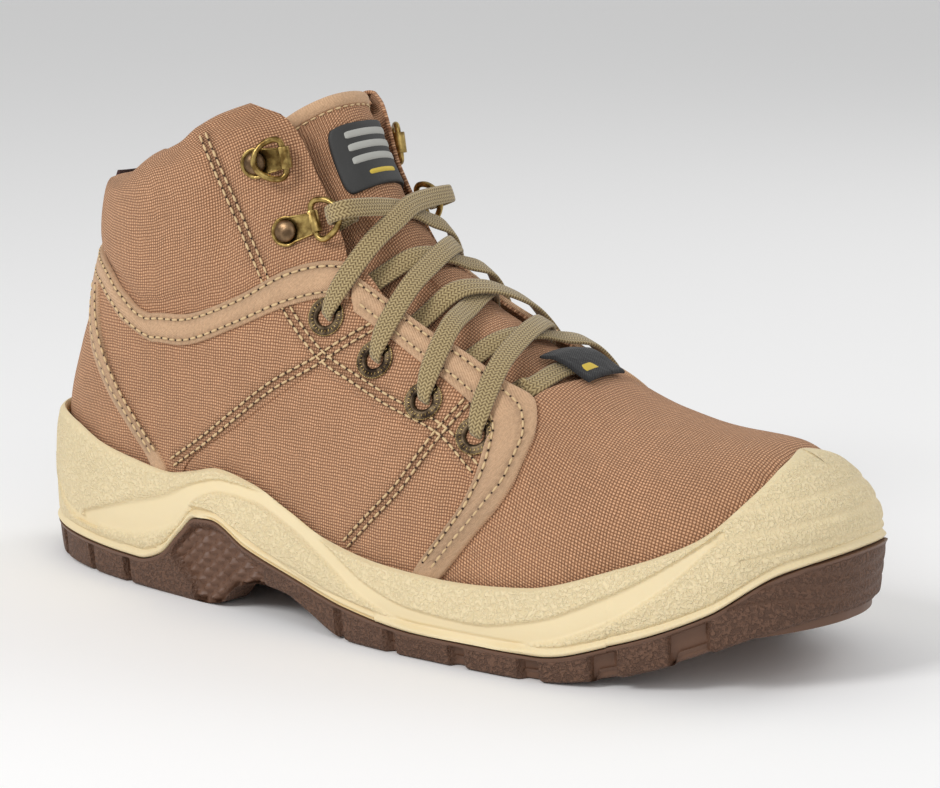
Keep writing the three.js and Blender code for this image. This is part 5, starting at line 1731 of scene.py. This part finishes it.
# ---------------------------------------------------------------- the tongue
@dataclass
class Tongue:
    """The padded tongue with its binding, label, keeper and lace loop."""

    low: float = -26
    high: float = 67
    half_angle: Curve = Curve([(-26, 0.72), (0, 0.9), (30, 0.95), (54, 0.92), (67, 0.8)])
    depth: Curve = Curve([
        (0, -2.2), (0.2, -2.7), (0.3, -4), (0.45, -6.2), (0.6, -7.6), (0.72, -8.2), (0.95, -10),
    ])

    def top(self, phi: Array) -> Array:
        """The station of the tongue's rounded top at angles."""
        return self.high - 4 * (phi / 0.85) ** 2

    def at(self, u: Array, v: Array) -> Array:
        """The tongue's chart: u across and v from the throat to the top."""
        phi = (2 * u - 1) * self.half_angle(lerp(self.low, self.high, v))
        return np.stack([lerp(self.low, self.top(phi), v), phi], axis=-1)

    def outer(self, u: Array, v: Array) -> Array:
        """The tongue's face, with soft folds across it."""
        place = self.at(u, v)
        phi = np.abs(place[..., 1])
        fold = 0.35 * np.sin(place[..., 0] * 0.42 + 2.2 * phi) * ease(0.05, 0.4, v) * (1 - ease(0.85, 1, v))
        pad = 0.5 * ease(0.58, 0.7, v) * (1 - ease(0.93, 1, v))
        return self.depth(phi) + fold + pad

    def inner(self, u: Array, v: Array) -> Array:
        """The tongue's back, with its padding."""
        return self.depth(np.abs(self.at(u, v)[..., 1])) - 2.2 - 2.6 * (1 - (2 * u - 1) ** 4)

    def patch(self, name: str, stations: tuple[float, float], half: float, lifts: tuple[float, float],
              finish: Finish, slot: str, *nodes: str, middle: float = 0.0) -> None:
        """A patch on the tongue.

        Args:
            name: Its name.
            stations: Its lower and upper ends.
            half: Half its width, in radians.
            lifts: How far its outside and inside are off the tongue's face.
            finish: Its finish.
            slot: Its material slot.
            *nodes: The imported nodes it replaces.
            middle: The angle of its middle.
        """
        rounding = 0.1

        def chart(u: Array, v: Array) -> Array:
            a, b = 2 * u - 1, 2 * v - 1
            phi = middle + a * half * (1 - rounding * np.abs(b) ** 7)
            station = lerp(*stations, 0.5 + 0.5 * b * (1 - 0.7 * rounding * np.abs(a) ** 7))
            return np.stack([station, phi], axis=-1)

        def level(lift: float) -> Field:
            return lambda u, v: self.depth(np.abs(chart(u, v)[..., 1])) + lift

        size = (half * 2 * 30, abs(stations[1] - stations[0]) * 1.4)
        panel = Panel(chart, size, level(lifts[0]), level(lifts[1]), Weave.ALONG, 0.9, 0.35)
        add(name, panel.shape(), finish, slot, *nodes)

    def stitches(self, beads: RowOfBeads) -> None:
        """One row below the tongue's binding."""
        u = np.linspace(0.04, 0.96, 60)
        v = np.full(60, 0.985)
        p = FORM.on(self.at(u, v), self.outer(u, v) + 0.3)
        sizes = (2.9, 2.4, 0.7, 0.6, 0)
        attach(beads.lay("tongue_stitching", [(p, FORM.outward(p))], Finish.THREAD, sizes))

    def loop_lift(self, base: float) -> Field:
        """The lace loop's height: over the lace, then down to the throat."""
        def lift(u: Array, v: Array) -> Array:
            hump = 1.2 * np.exp(-(((v - 0.52) / 0.25) ** 2))
            return base + 0.2 + hump * 0.6 - 1.9 * ease(0.72, 1, v)
        return lift

    def build(self, beads: RowOfBeads) -> None:
        """Makes the tongue's pieces."""
        panel = Panel(self.at, (62, 120), self.outer, self.inner, Weave.ALONG, 1.5)
        made = new_object("tongue_canvas", panel.shape(), Finish.CANVAS)
        attach(made, ["tongue"])

        def rim(u: Array, v: Array) -> Array:
            phi = self.at(u, np.ones_like(u))[..., 1]
            return np.stack([self.top(phi) - 1.2 + 3.4 * v, phi], axis=-1)

        def swell(u: Array, v: Array) -> Array:
            return self.depth(np.abs(rim(u, v)[..., 1])) + 0.3 + 0.9 * np.sin(math.pi * v)

        def under(u: Array, v: Array) -> Array:
            return self.inner(u, np.ones_like(u)) - 0.3 - 0.5 * np.sin(math.pi * v)

        shape = Panel(rim, (50, 5), swell, under, Weave.ALONG, 1.0).shape()
        add("tongue_edge_tape", shape, Finish.TRIM, "beige_leather", "tongue_binding")
        self.stitches(beads)
        self.patch("label", (44.6, 61.0), 0.405, (2.0, 0.0), Finish.LABEL, "black_rubber", "tongue_label",
                   middle=-0.05)
        for k, station in enumerate((57.2, 54.0, 50.8)):
            self.patch(f"label_bar_{k + 1}", (station, station + 1.9), 0.28, (2.3, 1.7), Finish.LABEL_GREY,
                       "black_rubber", middle=-0.05)
        self.patch("label_short_bar", (47.3, 48.6), 0.13, (2.3, 1.7), Finish.LABEL_OCHRE, "black_rubber")
        self.patch("keeper", (13.6, 20.4), 0.19, (1.2, 0.2), Finish.CANVAS, "canvas", "lace_keeper")

        def loop(u: Array, v: Array) -> Array:
            return np.stack([lerp(-28, -11, v), (2 * u - 1) * 0.165], axis=-1)

        panel = Panel(loop, (30, 17), self.loop_lift(2.7), self.loop_lift(1.6), Weave.ALONG, 0.8)
        add("webbing_loop", panel.shape(), Finish.WEBBING, "black_webbing", "lace_loop")

        def mark(u: Array, v: Array) -> Array:
            return np.stack([lerp(-25, -21.5, v), 0.06 + (2 * u - 1) * 0.05], axis=-1)

        panel = Panel(mark, (4, 3.5), 3.3, 2.4, Weave.ALONG, 0.6, 0.2)
        add("loop_mark", panel.shape(), Finish.LABEL_OCHRE, "black_webbing")


# ---------------------------------------------------------------- eyelets and lace rings
EYELETS = ((137, 96), (158, 85), (179, 75), (199, 67))
BAR_LIFT = 2.5  # how far the middle of a ring's bar is off the form


@dataclass(frozen=True)
class Hook:
    """A lace ring's clip: its rivet and bar in side view, and how far the ring is turned up."""

    level: str
    rivet: tuple[float, float]
    bar: tuple[float, float]
    rest: float

    def stand(self, side: Side) -> Stand:
        """The clip's own axes at its rivet."""
        return Stand.at(placed([self.rivet], side.value)[0], placed([self.bar], side.value)[0])

    def pivot(self, side: Side) -> Array:
        """The middle of the ring's straight bar."""
        stand = self.stand(side)
        return stand.origin + stand.forward * stand.reach + stand.up * BAR_LIFT


HOOKS = (Hook("upper", (107, 142), (115.5, 144), 166), Hook("lower", (118, 121), (126.5, 124), 14))


@dataclass
class Hardware:
    """Eyelets, and the riveted clips with their swinging rings."""

    eyelet: tuple = (
        (3.0, -2.4), (4.6, -2.4), (4.6, -2.0), (3.5, -2.0), (3.5, 0.9), (5.9, 0.9), (6.15, 1.1), (6.2, 1.4),
        (6.0, 1.7), (5.6, 1.75), (5.2, 1.6), (4.6, 1.75), (4.0, 1.9), (3.4, 1.75), (3.05, 1.4), (3.0, 1.0),
    )
    rivet: tuple = (
        (0, -2.6), (2.8, -2.6), (2.8, -1.9), (1.5, -1.9), (1.5, 1.5), (3.35, 1.5), (3.5, 1.75), (3.4, 2.1),
        (2.9, 2.55), (2.1, 2.95), (1.1, 3.15), (0, 3.2),
    )
    ring_outline: tuple = (
        (0, -3.6), (0, 0), (0, 3.6), (0.5, 5.3), (1.8, 6.2), (4, 6.1), (6.8, 4.9), (9, 2.6), (9.8, 0),
        (9, -2.6), (6.8, -4.9), (4, -6.1), (1.8, -6.2), (0.5, -5.3),
    )
    wire: float = 1.0

    def eyelets(self, beads: RowOfBeads) -> None:
        """Turned eyelets with a worn brass rim and a ring of fine ribs."""
        for side in Side:
            word = side.word
            rims, ribs = [], []
            for k, point in enumerate(EYELETS):
                place = placed([point], side.value)[0]
                stand = Stand.at(place, place - (4, 0))
                shape = stand.moved(lathe(self.eyelet, 48))
                label = f"{word}_{k + 1}"
                add(f"eyelet_ring_{label}", shape, Finish.EYELET, "antique_metal", f"eyelet_{label}")
                turn = np.arange(48) / 48 * 2 * math.pi
                for row, radius, lift in ((rims, 6.1, 1.45), (ribs, 4.8, 1.72)):
                    x, z = radius * np.cos(turn), radius * np.sin(turn)
                    p = stand.origin + np.outer(x, stand.forward) + np.outer(z, stand.side) + stand.up * lift
                    row.append((p, np.tile(stand.up, (48, 1))))
            for name, row, sizes in (
                ("rims", rims, (0.8, 1.1, 0.42, 0.4, 0)), ("ribs", ribs, (1.25, 0.42, 1.3, 0.34, 0)),
            ):
                laid = beads.lay(f"eyelet_{name}_{word}", row, Finish.RIM, sizes, closed=True)
                attach(laid)

    def plate(self, reach: float) -> Shape:
        """The clip: a flat plate round the rivet that narrows to a rolled eye over the bar."""
        turn = np.radians(np.linspace(62, 298, 25))
        round_end = np.column_stack([4.9 * np.cos(turn), 4.9 * np.sin(turn)])
        outline = np.vstack([[(reach, 3.3)], round_end, [(reach, -3.3)]])
        body = slab(outline, ((0.35, 0.3), (0.5, 0), (1.1, 0), (1.3, 0.25), (1.25, 0.7), (0.95, 1.0)))
        eye_turn = np.radians(np.linspace(-150, 110, 19))
        outer = np.column_stack([2.15 * np.cos(eye_turn), 2.15 * np.sin(eye_turn)])
        inner = np.column_stack([1.4 * np.cos(eye_turn), 1.4 * np.sin(eye_turn)])
        section = np.vstack([outer, inner[::-1]]) + (reach, BAR_LIFT)
        count = len(section)
        ends = [np.column_stack([section, np.full(count, z)]) for z in (-3.4, -3.2, 3.2, 3.4)]
        for k, share in ((0, 0.97), (3, 0.97)):
            middle = np.array([reach, BAR_LIFT, ends[k][0, 2]])
            ends[k] = middle + (ends[k] - middle) * (share, share, 1)
        faces = ring_faces(4, count)
        half = count // 2
        for base in (0, 3 * count):
            for i in range(half - 1):
                quad = (base + i, base + i + 1, base + count - 2 - i, base + count - 1 - i)
                faces.append(quad if base else quad[::-1])
        eye = Shape(np.vstack(ends), faces).facing_out()
        return joined([body, eye])

    def ring(self, rest: float) -> Shape:
        """The D-shaped wire ring, turned up to its rest."""
        loop = np.array(self.ring_outline, float)
        centres = catmull(np.column_stack([loop[:, 0], np.zeros(len(loop)), loop[:, 1]]), 6, True)
        wide = np.tile([0.0, 1.0, 0.0], (len(centres), 1))
        shape = sweep(centres, wide, np.full(len(centres), self.wire), self.wire, 12, 1.0, True)
        turn = math.radians(rest)
        x, y, z = shape.points.T
        shape.points = np.column_stack(
            [x * math.cos(turn) - y * math.sin(turn), x * math.sin(turn) + y * math.cos(turn), z]
        )
        return shape

    def hooks(self) -> None:
        """Each clip with its rivet, and the ring on its own body."""
        for side in Side:
            for hook in HOOKS:
                label = f"{side.word}_{hook.level}"
                stand = hook.stand(side)
                rivet = stand.moved(lathe(self.rivet, 40))
                add(f"rivet_head_{label}", rivet, Finish.STUD, "brass", f"rivet_{label}")
                clip = stand.moved(self.plate(stand.reach))
                add(f"ring_clip_{label}", clip, Finish.BRASS, "brass", f"d_ring_clip_{label}")
                ring = stand.moved(self.ring(hook.rest), BAR_LIFT, stand.reach)
                node, body = f"d_ring_{label}", f"ring_{label}"
                add(f"wire_ring_{label}", ring, Finish.BRASS, "brass", node, body=body)

    def build(self, beads: RowOfBeads) -> None:
        """Makes the metal pieces."""
        self.eyelets(beads)
        self.hooks()


# ---------------------------------------------------------------- lace
def catmull(points: Array, steps: int, closed: bool = False) -> Array:
    """A centripetal Catmull-Rom curve through points of any dimension.

    Args:
        points: The points; only their first three values set the spacing.
        steps: Steps from each point to the next.
        closed: Whether the curve runs back to its first point.

    Returns:
        The curve's points.
    """
    if closed:
        ring = np.vstack([points[-1:], points, points[:2]])
    else:
        ring = np.vstack([2 * points[:1] - points[1:2], points, 2 * points[-1:] - points[-2:-1]])
    made = []
    for i in range(1, len(ring) - 2):
        p = ring[i - 1 : i + 3]
        gap = np.maximum(np.linalg.norm(np.diff(p[:, :3], axis=0), axis=1), 1e-3) ** 0.5
        t = np.concatenate([[0], np.cumsum(gap)])
        for k in range(steps):
            at = lerp(t[1], t[2], k / steps)
            a = [((t[j + 1] - at) * p[j] + (at - t[j]) * p[j + 1]) / (t[j + 1] - t[j]) for j in range(3)]
            b = [((t[j + 2] - at) * a[j] + (at - t[j]) * a[j + 1]) / (t[j + 2] - t[j]) for j in range(2)]
            made.append(((t[2] - at) * b[0] + (at - t[1]) * b[1]) / (t[2] - t[1]))
    if not closed:
        made.append(points[-1])
    return np.array(made)


@dataclass
class Lace:
    """The flat lace: under the loop, up through the eyelets, through the lower rings and inside.

    A knot is a point, the direction of the lace's width there, and half its width.
    """

    wide: float = 3.4
    in_ring: float = 2.9
    thick: float = 0.8
    edge_angle: float = 0.42  # from an eyelet to the facing's edge
    # The share of the run, the height off the form, the angle short of the hole, half the width.
    over_edge: tuple = (
        (0, -0.6, 0, 2.2), (0, 1.6, 0.01, 2.2), (0.01, 3.1, 0.06, 2.8), (0.05, 3.8, 0.15, 3.4),
    )
    under_edge: tuple = ((0.95, -3.7, 0.16, 3.4), (0.99, -3.6, 0.06, 2.8), (1, -2.4, 0.01, 2.2))
    # The share of the run, the part of the edge's angle, and the height under and over the other run.
    middle: tuple = ((0.33, 0.45, 0.2, 2.8), (0.5, 0, 0.4, 3.1), (0.67, -0.45, -0.5, 2.2))
    # Distance ahead of the ring's bar and height over the form.
    through_ring: tuple = (
        (13.5, 7.4), (10.2, 8.1), (7, 6.8), (5.8, 4.4), (7, 2.1), (10, 1.9), (12.4, 0), (12.4, -3),
        (9.5, -4.8),
    )
    tucked: tuple = ((44, 0.86, -6.1), (43.5, 1.05, -6.6), (44, 1.25, -7), (46, 1.45, -7.3), (49, 1.65, -7.6))
    end_towards: tuple[float, float, float] = (52, 1.98, -11)

    def knot(self, station: float, phi: float, out: float, half: float) -> Array:
        """A knot on the form, as wide as along the form's length."""
        ahead = FORM.on(np.array([station + 0.5, phi])) - FORM.on(np.array([station - 0.5, phi]))
        return np.concatenate([FORM.on(np.array([station, phi]), out), unit(ahead), [half]])

    def run(self, low: Array, high: Array, side: int, over: bool, whole: bool = True) -> list:
        """One run from an eyelet to the next one up on the other side.

        Args:
            low: The place of the eyelet it leaves.
            high: The place it crosses to.
            side: The side it starts on.
            over: Whether it lies over the other run.
            whole: Whether it ends in the hole, or stops past the middle.

        Returns:
            The run's knots.
        """
        def at(t: float) -> float:
            return float(lerp(low[0], high[0], t))

        knots = [self.knot(at(t), side * (low[1] - less), out, half) for t, out, less, half in self.over_edge]
        knots.append(self.knot(at(0.2), side * (low[1] - self.edge_angle), 3.5, self.wide))
        shares = self.middle if whole else self.middle[:2]
        for t, share, under, top in shares:
            angle = (low[1] if share > 0 else high[1]) - self.edge_angle
            knots.append(self.knot(at(t), side * share * angle, top if over else under, self.wide))
        if whole:
            knots.append(self.knot(at(0.8), side * (self.edge_angle - high[1]), -3.3, self.wide))
            for t, out, less, half in self.under_edge:
                knots.append(self.knot(at(t), side * (less - high[1]), out, half))
        return knots

    def strand(self, side: Side) -> list[Array]:
        """Half the lace, from the loop to its tucked end; it ends on this side."""
        at = [placed([point])[0] for point in EYELETS]
        sign, last = side.value, at[-1]
        under_loop = ((-18, 0.16, -0.3), (-16, 0.4, -1), (-13, last[1] - self.edge_angle, -3.3))
        knots = [self.knot(st, sign * phi, out, self.wide) for st, phi, out in under_loop]
        for _, out, less, half in self.under_edge:
            knots.append(self.knot(last[0], sign * (last[1] - less), out, half))
        start = sign
        for k in range(len(at) - 1, 0, -1):
            knots += self.run(at[k], at[k - 1], start, (k % 2 == 1) == (start > 0))
            start = -start
        knots += self.run(at[0], np.array([44, at[0][1]]), start, start > 0, False)
        stand = HOOKS[1].stand(side)
        pivot = HOOKS[1].pivot(side)
        for reach, lift in self.through_ring:
            point = pivot + stand.forward * reach + stand.up * (lift - BAR_LIFT)
            knots.append(np.concatenate([point, -stand.side * sign, [self.in_ring]]))
        return knots + [self.knot(st, sign * phi, out, self.wide) for st, phi, out in self.tucked]

    def build(self) -> None:
        """Makes the lace, which is held all the way, and the rods on its ends."""
        knots = [*self.strand(Side.LATERAL)[::-1], self.knot(-19, 0, 0, self.wide), *self.strand(Side.MEDIAL)]
        line = catmull(np.array(knots), 7)
        shape = sweep(line[:, :3], line[:, 3:6], line[:, 6], self.thick, 18, 0.62)
        add("flat_lace", shape, Finish.BRAID, "lace_cord", "lace")
        for side, end in ((Side.LATERAL, knots[0][:3]), (Side.MEDIAL, knots[-1][:3])):
            station, phi, out = self.end_towards
            along = unit(FORM.on(np.array([station, side.value * phi]), out) - end)
            shares = np.array([0.3, 0.5, 1.5, 8, 14.8, 15.8, 16.1])
            radii = np.array([0.7, 1.2, 1.4, 1.35, 1.4, 1.2, 0.6])
            centres = end + np.outer(shares, along)
            wide = np.tile(unit(np.cross(along, (0, 0, 1))), (len(shares), 1))
            rod = sweep(centres, wide, radii, 1.4, 16, 1.0)
            add(f"lace_end_{side.word}", rod, Finish.FILM, "clear_film", f"aglet_{side.word}")


# ---------------------------------------------------------------- hidden parts, stage and camera
@dataclass(frozen=True)
class HiddenParts:
    """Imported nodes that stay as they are, inside the upper and the sole."""

    finishes: tuple = (
        (Finish.STEEL, ("steel_toe_cap", "puncture_plate")),
        (Finish.BOARD, ("insole_board", "heel_counter")),
        (Finish.EDGE_RUBBER, ("toe_cap_edge_strip",)),
        (Finish.FOAM, ("collar_padding_lateral", "collar_padding_medial")),
        (Finish.LINING, ("vamp_lining",)),
    )

    def build(self) -> None:
        """Gives each its finish."""
        for finish, names in self.finishes:
            for name in names:
                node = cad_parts[name]
                node.data.materials.clear()
                node.data.materials.append(finish.made)
                log.info("%-24s dressed as %s", name, finish.value.name)


@dataclass(frozen=True)
class Studio:
    """A pale floor, soft light and the camera at the boot's front quarter."""

    turn: float = 38.0  # from square on to the lateral side, towards the toe
    rise: float = 10.0
    distance: float = 900.0
    aim: tuple[float, float, float] = (150.0, 0.0, 85.0)
    lens: float = 108.3
    slide: tuple[float, float] = (0.046, -0.0554)
    sky: float = 0.6
    floor_half: float = 6.0  # metres, as are the lamps' places and sizes
    lamps: tuple = (
        ("key", (-0.3, -1.3, 1.05), 0.5, 12.0),
        ("fill", (1.2, -0.7, 0.9), 0.9, 3.0),
        ("back", (0.5, 1.2, 1.0), 0.8, 4.0),
    )

    def camera(self) -> None:
        """Places the camera and makes it the scene's."""
        turn, rise = math.radians(self.turn), math.radians(self.rise)
        back = np.array([math.sin(turn) * math.cos(rise), -math.cos(turn) * math.cos(rise), math.sin(rise)])
        data = bpy.data.cameras.new("view")
        data.lens, data.sensor_width = self.lens, 36.0
        data.shift_x, data.shift_y = self.slide
        data.clip_start = 0.01
        camera = bpy.data.objects.new("view", data)
        bpy.context.scene.collection.objects.link(camera)
        camera.location = (np.array(self.aim) + back * self.distance - ORIGIN) * MM
        camera.rotation_euler = (math.pi / 2 - rise, 0.0, turn)
        bpy.context.scene.camera = camera

    def light(self, name: str, at: tuple[float, float, float], size: float, power: float) -> None:
        """A square soft light aimed at the boot."""
        data = bpy.data.lights.new(name, "AREA")
        data.size, data.energy = size, power
        lamp = bpy.data.objects.new(name, data)
        bpy.context.scene.collection.objects.link(lamp)
        lamp.location = at
        toward = np.array([0.0, 0.0, 0.07]) - np.array(at)
        yaw = math.atan2(toward[0], -toward[1])
        lamp.rotation_euler = (math.atan2(np.hypot(toward[0], toward[1]), -toward[2]), 0.0, yaw + math.pi)

    def floor(self) -> None:
        """A wide pale floor."""
        mesh = bpy.data.meshes.new("floor")
        half = self.floor_half
        corners = [(-half, -half, 0), (half, -half, 0), (half, half, 0), (-half, half, 0)]
        mesh.from_pydata(corners, [], [(0, 1, 2, 3)])
        floor = bpy.data.objects.new("floor", mesh)
        paint = Paint("floor", Base_Color=(0.95, 0.95, 0.95), Roughness=0.75, Specular_IOR_Level=0.1)
        mesh.materials.append(paint.finish())
        bpy.context.scene.collection.objects.link(floor)

    def build(self) -> None:
        """Makes the stage, its light and the camera."""
        scene = bpy.context.scene
        scene.view_settings.view_transform = "Standard"
        world = bpy.data.worlds.new("studio")
        scene.world = world
        world.use_nodes = True
        sky = world.node_tree.nodes["Background"]
        sky.inputs[0].default_value = (1.0, 1.0, 1.0, 1.0)
        sky.inputs[1].default_value = self.sky
        self.floor()
        for lamp in self.lamps:
            self.light(*lamp)
        self.camera()


def main() -> None:
    """Builds the boot's looks piece by piece."""
    logging.basicConfig(level=logging.INFO, format="%(name)s: %(message)s")
    Studio().build()
    beads = RowOfBeads()
    stitching = Stitching()
    Lace().build()
    Sole().build()
    Upper(stitching).build()
    Tongue().build(beads)
    Hardware().build(beads)
    stitching.build(beads)
    HiddenParts().build()


if __name__ == "__main__":
    main()
